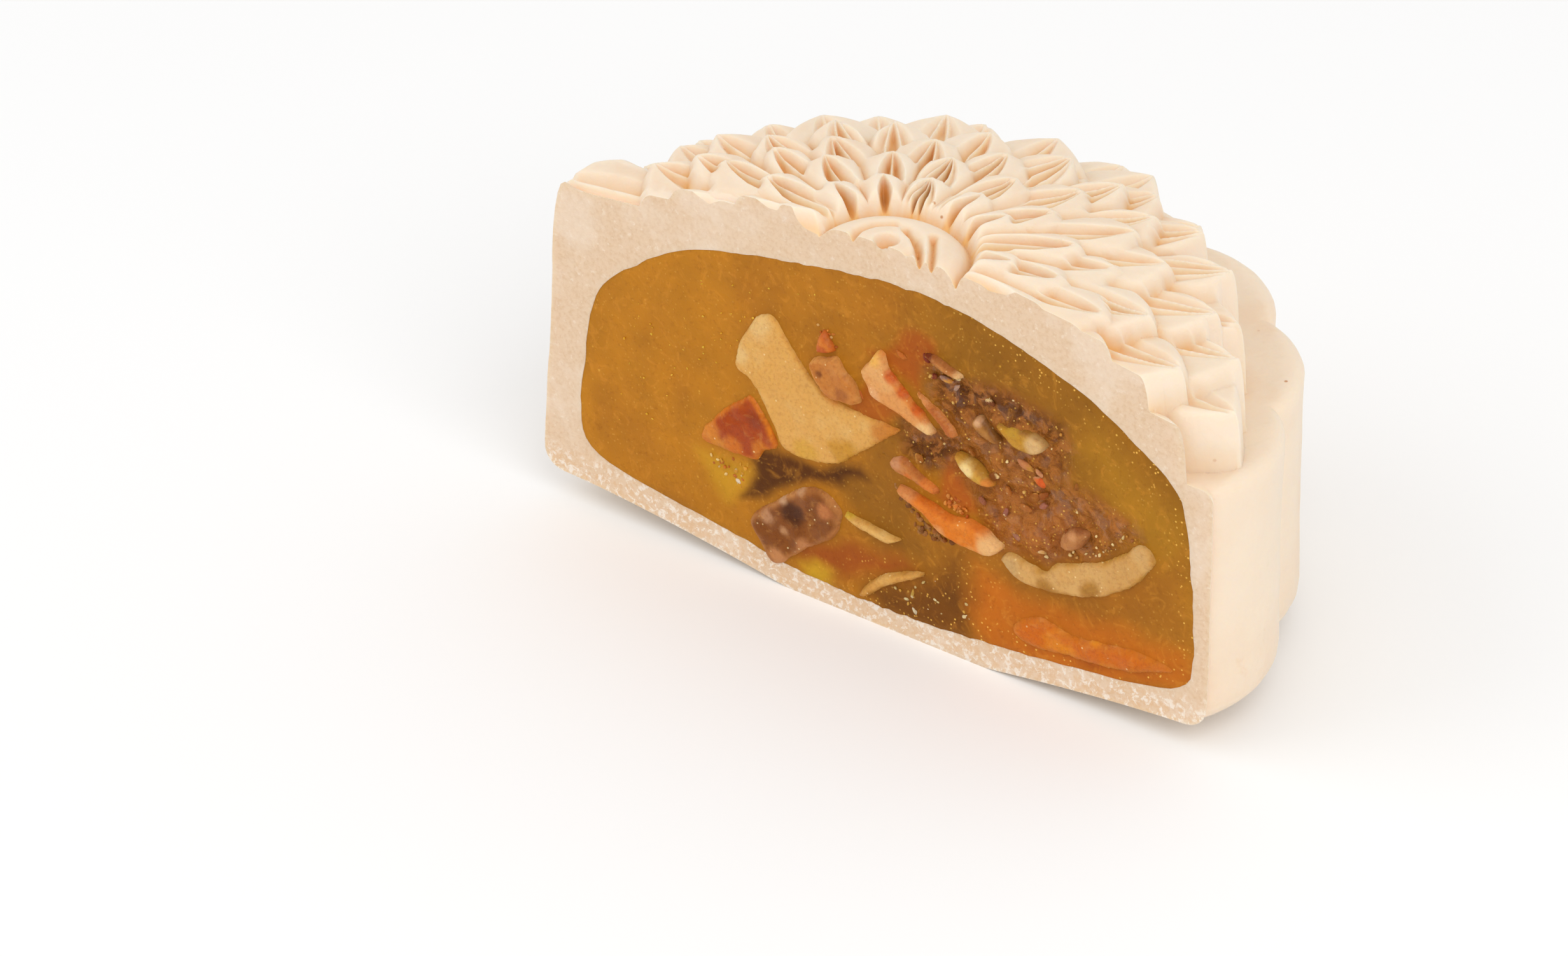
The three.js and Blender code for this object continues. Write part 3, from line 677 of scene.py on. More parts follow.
fillingShape = {
    "right": [(0, 34.8), (8, 34.9), (15, 33.5), (20, 32), (25, 30), (30, 27), (33.4, 24.3), (34.7, 20),
              (35.2, 13), (35.3, 7), (34.4, 3.8), (30, 1.9), (20, 0.4), (10, -0.7), (0, -1.3)],
    "left": [(-10, -0.9), (-20, 0.6), (-30, 2), (-35, 3.6), (-36.2, 7), (-35.6, 13), (-34.6, 19),
             (-33, 22.5), (-30, 25.4), (-25, 29), (-20, 31), (-10, 33.2)],
    "centre": (0.0, 16.0),
    "depth": 33.5,
    "directions": 520,
    "rings": 120,
    "sections": 14,
    "socketDepth": 0.5,      # of the skin's hollow behind the filling
    # height and size of bumps
    "edgeBumps": (0.2, 2.2),
    "cutGrain": (0.06, 2.5),
    "cutBumps": (0.1, 8),
    "lumps": (0.6, 2.2),
    "lumpsBack": 0.25,
    "edgeBack": 0.05,
    "warp": 0.9,             # how far the edges of the colours stray
    "shades": (0.14, 2.6),   # how much lighter and darker, and over what size
}


def fillingOutline(steps):
    # the filling's edge at the cut, one point for each direction from its centre
    line = curveThrough(fillingShape["right"] + fillingShape["left"], 0.2)
    centre = np.array(fillingShape["centre"])
    away = line - centre
    angle = np.arctan2(away[:, 1], away[:, 0])
    order = np.argsort(angle)
    angles = np.linspace(-math.pi, math.pi, steps, endpoint=False)
    reach = np.interp(angles, angle[order], np.hypot(*away.T)[order], period=2 * math.pi)
    high, wide = fillingShape["edgeBumps"]
    reach = reach + high * roughNoise(flatPoints(angles * 40, 0 * angles), wide, 31, 4)
    return centre + reach[:, None] * np.stack([np.cos(angles), np.sin(angles)], axis=1)


def hollowBody(outline, depth, sections):
    # an egg-like body behind the cut, drawn in section by section to a point
    centre = np.array(fillingShape["centre"])
    turns = np.linspace(0, math.pi / 2, sections + 1)[:-1]
    rows = []
    for turn in turns:
        flat = centre + (outline - centre) * math.cos(turn)
        rows.append(np.stack([flat[:, 0], np.full(len(flat), depth * math.sin(turn)), flat[:, 1]], axis=1))
    points = np.stack(rows, axis=1).reshape(-1, 3)
    points = np.concatenate([points, [[centre[0], depth, centre[1]]]])
    quads = gridFaces(0, len(outline), sections, closed=True)
    last = np.arange(len(outline)) * sections + sections - 1
    tip = np.full(len(outline), len(points) - 1)
    return points, quads, np.stack([last, np.roll(last, -1), tip], axis=1)


def skinShell():
    # the moulded outside: top, ledge, wall and base, column by column
    theta = np.linspace(0, math.pi, cake["columns"] + 1)
    rim = lobedRadius(theta)
    shares = np.linspace(0, 1, cake["topRows"] + 1)[1:]
    radius = (rim - cake["ledgeRounding"])[:, None] * shares[None, :]
    turned = np.broadcast_to(theta[:, None], radius.shape)
    z, _ = topRelief(radius, turned)
    rows = [(radius[:, k], z[:, k]) for k in range(radius.shape[1])]
    rounding = cake["ledgeRounding"]
    lip = z[:, -1] - cake["ledge"]
    for angle in np.linspace(0, math.pi / 2, cake["lipRows"])[1:]:
        rows.append((rim - rounding * (1 - math.sin(angle)),
                     cake["ledge"] - rounding * (1 - math.cos(angle)) + lip * math.cos(angle)))
    for height in np.linspace(cake["ledge"] - rounding, cake["baseRounding"], cake["wallRows"])[1:]:
        rows.append((rim + cake["flare"] * (1 - height / cake["ledge"]) ** 1.5, np.full_like(rim, height)))
    foot = rim + cake["flare"] * (1 - cake["baseRounding"] / cake["ledge"]) ** 1.5
    corner = cake["baseRounding"]
    for angle in np.linspace(0, math.pi / 2, cake["cornerRows"])[1:]:
        r = foot - corner * (1 - math.cos(angle))
        under = baseHeight(r * np.cos(theta) + leaning(0), r * np.sin(theta))
        rows.append((r, under + (corner * (1 - math.sin(angle)))))
    for share in np.linspace(1, 0, cake["baseRows"])[1:-1]:
        r = (foot - corner) * share
        rows.append((r, baseHeight(r * np.cos(theta) + leaning(0), r * np.sin(theta))))
    r = np.stack([row[0] for row in rows], axis=1)
    z = np.stack([row[1] for row in rows], axis=1)
    sine = np.sin(theta)
    sine[[0, -1]] = 0
    x = r * np.cos(theta)[:, None] + leaning(np.maximum(z, 0))
    y = r * sine[:, None]
    points = np.stack([x, y, z], axis=-1)
    return points, radius.shape[1]


def roughen(points, topRows):
    # hand-made unevenness of the wall and the ledge
    flat = points.reshape(-1, 3)
    away = flat.copy()
    away[:, 2] = 0
    away /= np.maximum(np.hypot(away[:, 0], away[:, 1]), 1)[:, None]
    bumps, grain, ledge = cake["wallBumps"], cake["wallGrain"], cake["ledgeBumps"]
    amount = bumps[0] * roughNoise(flat, bumps[1], 21) + grain[0] * roughNoise(flat, grain[1], 24)
    amount = amount.reshape(points.shape[:2])
    amount[:, :topRows] = 0
    amount[:, 2 - cake["baseRows"]:] = 0
    moved = flat + away * amount.reshape(-1, 1)
    moved[:, 2] += ledge[0] * roughNoise(flat, ledge[1], 27) * (flat[:, 2] > 2)
    moved = moved.reshape(points.shape)
    moved[[0, -1], :, 1] = 0
    return moved


# painted shade and highlight on the moulded skin, and where the base band ends
skinShades = {
    "sunken": 0.7,           # of the hollow colour, painted shade, a millimetre below the surroundings
    "lessOutside": (0.9, 27, 33),   # how much of that goes, and between which radii
    "deep": 0.6,             # of the hollow colour, painted shade, inside the petals' hollows
    "crest": 1.6,            # of the crest colour, painted highlight, a millimetre above the surroundings
    "wall": 0.5,             # of the crest colour on the wall, painted light
    "baseBand": (0.5, 3.5),  # heights between which the band ends
}


def makeSkin():
    shell, topRows = skinShell()
    shell = roughen(shell, topRows)
    columns, rows = shell.shape[:2]
    top = np.array([shell[:, 0, 0].mean(), 0, shell[:, 0, 2].mean()])
    bottom = np.array([leaning(0), 0, baseHeight(leaning(0), 0)])
    points = [shell.reshape(-1, 3), top[None], bottom[None]]
    count = columns * rows
    c = np.arange(columns - 1)
    shellFaces = [
        gridFaces(0, columns, rows),
        np.stack([c * rows, (c + 1) * rows, np.full_like(c, count)], axis=1),
        np.stack([(c + 1) * rows - 1, (c + 2) * rows - 1, np.full_like(c, count + 1)], axis=1),
    ]
    outline = fillingOutline(fillingShape["directions"] // 2)
    depth = fillingShape["depth"] + fillingShape["socketDepth"]
    inner, innerQuads, innerTip = hollowBody(outline, depth, fillingShape["sections"])
    start = count + 2
    points.append(inner)
    outer = np.concatenate([top[None, ::2], shell[0][:, ::2], bottom[None, ::2], shell[-1][::-1, ::2]])
    flat, cutFaces = fillOutline([outer, outline], cake["cutSpacing"], 8)
    spots = flatPoints(flat[:, 0], flat[:, 1])
    grain, bumps = cake["cutGrain"], cake["cutBumps"]
    edge = len(outer) + len(outline)
    y = np.abs(grain[0] * roughNoise(spots, grain[1], 41))
    y += bumps[0] * np.abs(roughNoise(spots, bumps[1], 44))
    y[:edge] = 0
    cutStart = start + len(inner)
    points.append(np.stack([flat[:, 0], y, flat[:, 1]], axis=1))
    quads = np.concatenate([shellFaces[0], start + innerQuads])
    triangles = np.concatenate([shellFaces[1], shellFaces[2], start + innerTip, cutStart + cutFaces])
    isCut = np.zeros(len(quads) + len(triangles), int)
    isCut[len(shellFaces[0]):len(quads)] = 1
    isCut[-(len(cutFaces) + len(innerTip)):] = 1
    piece = newPiece("moulded_skin", np.concatenate(points), [quads, triangles],
                     [mouldedPaste(), cutPaste()], isCut)
    faces = sum(len(polygon.vertices) - 2 for polygon in piece.data.polygons)
    applyModifier(piece, "DECIMATE", ratio=min(1, cake["triangles"] / faces))
    smoothFaces(piece, 50)
    at = placesOf(piece)
    radius = np.hypot(at[:, 0] - leaning(at[:, 2]), at[:, 1])
    theta = np.arctan2(np.maximum(at[:, 1], 0), at[:, 0] - leaning(at[:, 2]))
    sunken, deep = sunkenness(radius, theta)
    isTop = (at[:, 2] > cake["ledge"] - 0.5) & (radius < cake["grooveRadius"])
    # painted shade: hollow colour where the top lies below its surroundings and inside the petals' hollows
    less, fewFrom, fewTo = skinShades["lessOutside"]
    shaded = skinShades["sunken"] * clamp(sunken) * (1 - less * ease(radius, fewFrom, fewTo))
    shaded += skinShades["deep"] * deep
    giveMask(piece, "hollow", np.where(isTop, clamp(shaded), 0))
    # painted highlight: crest colour on raised crests, and a fixed share over the whole wall
    giveMask(piece, "crest", np.where(isTop, clamp(-skinShades["crest"] * sunken), skinShades["wall"]))
    giveMask(piece, "baseBand", 1 - ease(at[:, 2], *skinShades["baseBand"]))
    return piece


skin = makeSkin()
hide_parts("skin")
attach(skin, "root")
print("skin", len(skin.data.vertices), "points")


# The filling

fillingColours = {
    "amber": rgb(184, 119, 25),
    "deepAmber": rgb(160, 98, 22),
    "olive": rgb(144, 93, 18),
    "yellow": rgb(174, 120, 25),
    "leaf": rgb(139, 89, 20),
    "deepLeaf": rgb(100, 54, 10),
    "brown": rgb(146, 84, 24),
    "plum": rgb(164, 92, 36),
    "dark": rgb(70, 30, 4),
    "orange": rgb(193, 104, 20),
    "lowOrange": rgb(155, 75, 19),
    "rust": rgb(172, 81, 19),
    "red": rgb(149, 57, 12),
    "glow": rgb(211, 162, 35),
}
fruitMass = [(5.8, 24.5), (4.8, 27), (7.8, 28.1), (10.3, 27.4), (14.8, 28.2), (20.3, 26.6),
             (21.3, 24.6), (20.8, 21), (24.5, 20.5), (28.5, 19.5), (29, 17.8), (27, 16), (24, 13.5),
             (18.5, 11.3), (15, 10.8), (13, 11), (11, 13.5), (9.5, 16), (7.5, 17.5), (5.2, 16.3),
             (2.6, 17.1), (2.4, 20.1), (6, 20.5), (7.5, 22.2)]
# colour, share, width of its soft edge, outline
fillingZones = [
    ("olive", 0.9, 4, [(6, 40), (4, 24), (8, 16), (20, 12), (34, 16), (42, 12), (42, 40)]),
    ("yellow", 0.8, 3, [(24, 28), (34, 22), (37, 8), (31, 8), (29, 17), (22, 25)]),
    ("deepAmber", 0.8, 2.5, [(12, 8), (34, 17), (36, 8), (20, 6), (12, 4)]),
    ("leaf", 0.8, 1.6, [(-5.1, 10.8), (0.1, 13.2), (2.6, 12.3), (3.6, 8.7), (7.2, 8.1), (5.1, 5.4),
                        (0, 4.9), (-3.6, 7)]),
    ("lowOrange", 0.9, 1.4, [(-10.9, 1.2), (-7.3, 3.4), (-2.6, 4.9), (2, 5.4), (3.1, 4.4), (-1.1, 2.8),
                             (-4.7, -0.1), (-8.9, 0)]),
    ("leaf", 0.6, 2.0, [(-2, 18), (2.5, 20), (2.5, 13), (-3, 9), (-8, 11), (-3, 14)]),
    ("deepLeaf", 0.8, 2.2, [(-2.1, 0.1), (0, 2.2), (3.6, 3.8), (8.9, 7.2), (10.7, 4.1), (10.2, -1.5),
                            (5.1, -2), (-0.1, -2)]),
    ("orange", 0.9, 1.6, [(10.5, 7.5), (16, 6.5), (20, 6.5), (34, 7.5), (36.5, 4.5), (25, -0.5),
                          (11.5, -2), (10, 3)]),
    ("red", 0.5, 0.8, [(16.5, 1.2), (19, 2.6), (25, 2.8), (31, 4.2), (30, 3.2), (22, 1.4)]),
    ("glow", 0.9, 1.0, [(-9.9, -0.4), (-7.8, 0.9), (-6.3, 0.3), (-6.8, -1.6), (-8.9, -1.6)]),
    ("glow", 0.5, 1.2, [(-22, 8.1), (-19.1, 7.9), (-15.5, 8.8), (-16.6, 5.5), (-18.5, 3.8),
                        (-20.3, 5.6)]),
    ("brown", 0.9, 1.2, fruitMass),
    ("plum", 0.6, 1.2, [(13, 17.5), (17, 19), (20.5, 18), (23, 16.8), (20.5, 13.4), (16.3, 11.2),
                        (13.5, 11.5), (11.5, 14)]),
    ("dark", 0.8, 1.5, [(5.8, 25.5), (8, 27.6), (12, 27.2), (20.3, 26.4), (20.6, 24.8), (15.3, 25),
                        (10.5, 24.6), (8.8, 22.8)]),
    ("dark", 0.8, 1.5, [(2.2, 20.1), (5.2, 19.8), (7.8, 20), (7.5, 17.5), (5.7, 16.3), (2.7, 17.1)]),
    ("dark", 0.9, 0.9, [(-15.2, 10.7), (-12.8, 12), (-10.2, 12), (-6.6, 11.7), (-3, 13.3), (-1.7, 12.8),
                        (-5.1, 10.6), (-8.7, 9.9), (-12.4, 7.6), (-14.8, 5.7), (-16.6, 5),
                        (-15.7, 8.2)]),
    ("rust", 0.8, 0.7, [(7.5, 18), (9.2, 16.7), (10.5, 13.8), (9.5, 12.9), (6.2, 13.6), (7.3, 15.6)]),
    ("rust", 0.8, 0.9, [(-1.5, 26.5), (1, 28.6), (3, 30.3), (6, 30.2), (6.5, 28.6), (4, 26.5),
                        (4, 24.5), (1, 25.8)]),
    ("rust", 0.7, 0.7, [(-4, 19.6), (-2.4, 21.4), (-1.4, 23), (0, 22.2), (2, 21), (0.5, 18.6),
                        (-2, 16.8), (-3, 17)]),
]


# painted glints: where bright specks stand in for light caught on grains of syrup
paintedGlintShares = {
    "everywhere": 0.2,
    "rim": 0.8,
    "rimReach": (0.5, 4),    # how far in from the edge it fades
    "rimFrom": (5, 15),      # where it sets in, to the right
    "low": 0.6,
    "lowPatch": [(-3, 4), (4, 5), (12, 8), (12, -2), (-3, -2)],
    "fruit": 0.5,
}
jellyLooks = {
    "streak": rgb(224, 150, 50),
    "lump": rgb(184, 114, 50),
    "darkLump": rgb(104, 52, 18),
    "fine": rgb(150, 96, 34),
    # painted glint colour, for light caught on grains of syrup
    "grain": rgb(238, 186, 84),
    "largeGrain": rgb(226, 172, 60),
    "syrup": 0.6,
    "softLight": (1.4, 0.7, 0.15),
}


def fillingTint(x, z):
    # the jelly's colours over the cut
    spots = flatPoints(x, z)
    warpX = x + fillingShape["warp"] * roughNoise(spots, 4, 51)
    warpZ = z + fillingShape["warp"] * roughNoise(spots, 4, 55)
    look = {name: np.array(colour) for name, colour in fillingColours.items()}
    colour = np.tile(look["amber"], (len(x), 1))
    # deeper in broad patches, and from the left to the middle
    mottle = ease(roughNoise(spots, 8, 57), 0, 0.8) * 0.6 + 0.4 * ease(x, -22, -4)
    colour = blend(colour, look["deepAmber"], clamp(mottle)[:, None])
    for name, share, soft, outline in fillingZones:
        colour = blend(colour, look[name], share * within(warpX, warpZ, outline, soft)[:, None])
    share, wide = fillingShape["shades"]
    return colour * (1 + share * roughNoise(spots, wide, 59, 4))[:, None]


def fillingWet(x, z):
    # how lumpy and wet the fruit mass is
    spots = flatPoints(x, z)
    warpX = x + fillingShape["warp"] * roughNoise(spots, 3, 61)
    warpZ = z + fillingShape["warp"] * roughNoise(spots, 3, 65)
    return within(warpX, warpZ, fruitMass, 1.2)


def fillingPaintedGlints(x, z):
    # where the painted glints, light caught on grains of syrup, lie close together
    shares = paintedGlintShares
    edge = curveThrough(fillingShape["right"] + fillingShape["left"], 1.0)
    rim = (1 - ease(distanceTo(x, z, edge), *shares["rimReach"])) * ease(x, *shares["rimFrom"])
    low = within(x, z, shares["lowPatch"], 2)
    total = shares["everywhere"] + shares["rim"] * rim + shares["low"] * low
    return clamp(total + shares["fruit"] * fillingWet(x, z))


def fruitJelly():
    look = jellyLooks
    paint = Paint("fruit_jelly", {
        "Subsurface Weight": 0.25, "Subsurface Radius": look["softLight"], "Subsurface Scale": mm,
        "Specular IOR Level": 0.12, "Coat Roughness": 0.1, "Coat IOR": 1.45})
    colour = paint.colourOf("tint")
    wet = paint.mask("wet")
    paintedGlint = paint.mask("paintedGlint")
    fine = paint.noise(0.5, 4, 0.7)
    lumps = paint.noise(1.3, 4, 0.6, 0.6)
    streaks = paint.noise(2.4, 4, 0.6, 2.5)
    colour = paint.mix(paint.between(streaks, 0.5, 0.75) * 0.3, colour, look["streak"])
    colour = paint.mix(wet * paint.between(lumps, 0.45, 0.62) * 0.7, colour, look["lump"])
    dark = paint.between(paint.noise(1.9, 4, 0.6), 0.56, 0.68)
    colour = paint.mix(wet * dark * 0.5, colour, look["darkLump"])
    colour = paint.mix(paint.between(fine, 0.5, 0.8) * 0.3, colour, look["fine"], "MULTIPLY")
    # painted glints: bright specks of light on syrup grains
    grains = 1 - paint.between(paint.cells(0.55), 0.13, 0.23)
    near = paint.between(paint.noise(1.6, 3), 0.38, 0.56)
    colour = paint.mix(grains * near * paintedGlint, colour, look["grain"])
    large = (1 - paint.between(paint.cells(1.7), 0.04, 0.1)) * paint.between(paint.noise(4), 0.5, 0.62)
    colour = paint.mix(large * 0.6, colour, look["largeGrain"])
    normal = paint.bump(fine, 0.06)
    normal = paint.bump(lumps * wet, 0.9, normal)
    syrup = paint.between(paint.noise(1.5, 3), 0.5, 0.62)
    paint.feed(paint.shader, {"Coat Weight": wet * syrup * look["syrup"]})
    return paint.finish(colour, 0.55 - 0.2 * wet, normal)


def makeFilling():
    directions, rings = fillingShape["directions"], fillingShape["rings"]
    outline = fillingOutline(directions)
    centre = np.array(fillingShape["centre"])
    shares = np.linspace(0, 1, rings + 1)[1:]
    flat = centre + (outline - centre)[:, None, :] * shares[None, :, None]
    x, z = flat[..., 0].ravel(), flat[..., 1].ravel()
    spots = flatPoints(x, z)
    wet = fillingWet(x, z)
    grain, bumps, lumps = (fillingShape[name] for name in ("cutGrain", "cutBumps", "lumps"))
    y = grain[0] * roughNoise(spots, grain[1], 71) + bumps[0] * roughNoise(spots, bumps[1], 74)
    y += wet * (lumps[0] * roughNoise(spots, lumps[1], 77, 4) + fillingShape["lumpsBack"])
    edge = ease(np.tile(shares, directions), 0.965, 1.0)
    y = blend(y, fillingShape["edgeBack"], edge)
    front = np.stack([x, y, z], axis=1)
    middle = np.array([[centre[0], 0.1, centre[1]]])
    count = len(front)
    c = np.arange(directions)
    frontQuads = gridFaces(0, directions, rings, closed=True)
    frontTip = np.stack([c * rings, np.roll(c, -1) * rings, np.full_like(c, count)], axis=1)
    sections = fillingShape["sections"]
    body, bodyQuads, bodyTip = hollowBody(outline, fillingShape["depth"], sections)
    body[c * sections, 1] = front[c * rings + rings - 1, 1]
    start = count + 1
    quads = np.concatenate([frontQuads, start + bodyQuads])
    tips = np.concatenate([frontTip, start + bodyTip])
    points = np.concatenate([front, middle, body])
    piece = newPiece("jelly_filling", points, [quads, tips], [fruitJelly()])
    at = placesOf(piece)
    giveColour(piece, "tint", fillingTint(at[:, 0], at[:, 2]))
    giveMask(piece, "wet", fillingWet(at[:, 0], at[:, 2]))
    giveMask(piece, "paintedGlint", fillingPaintedGlints(at[:, 0], at[:, 2]))
    return piece


filling = makeFilling()
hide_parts("filling")
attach(filling, "root")
print("filling", len(filling.data.vertices), "points")


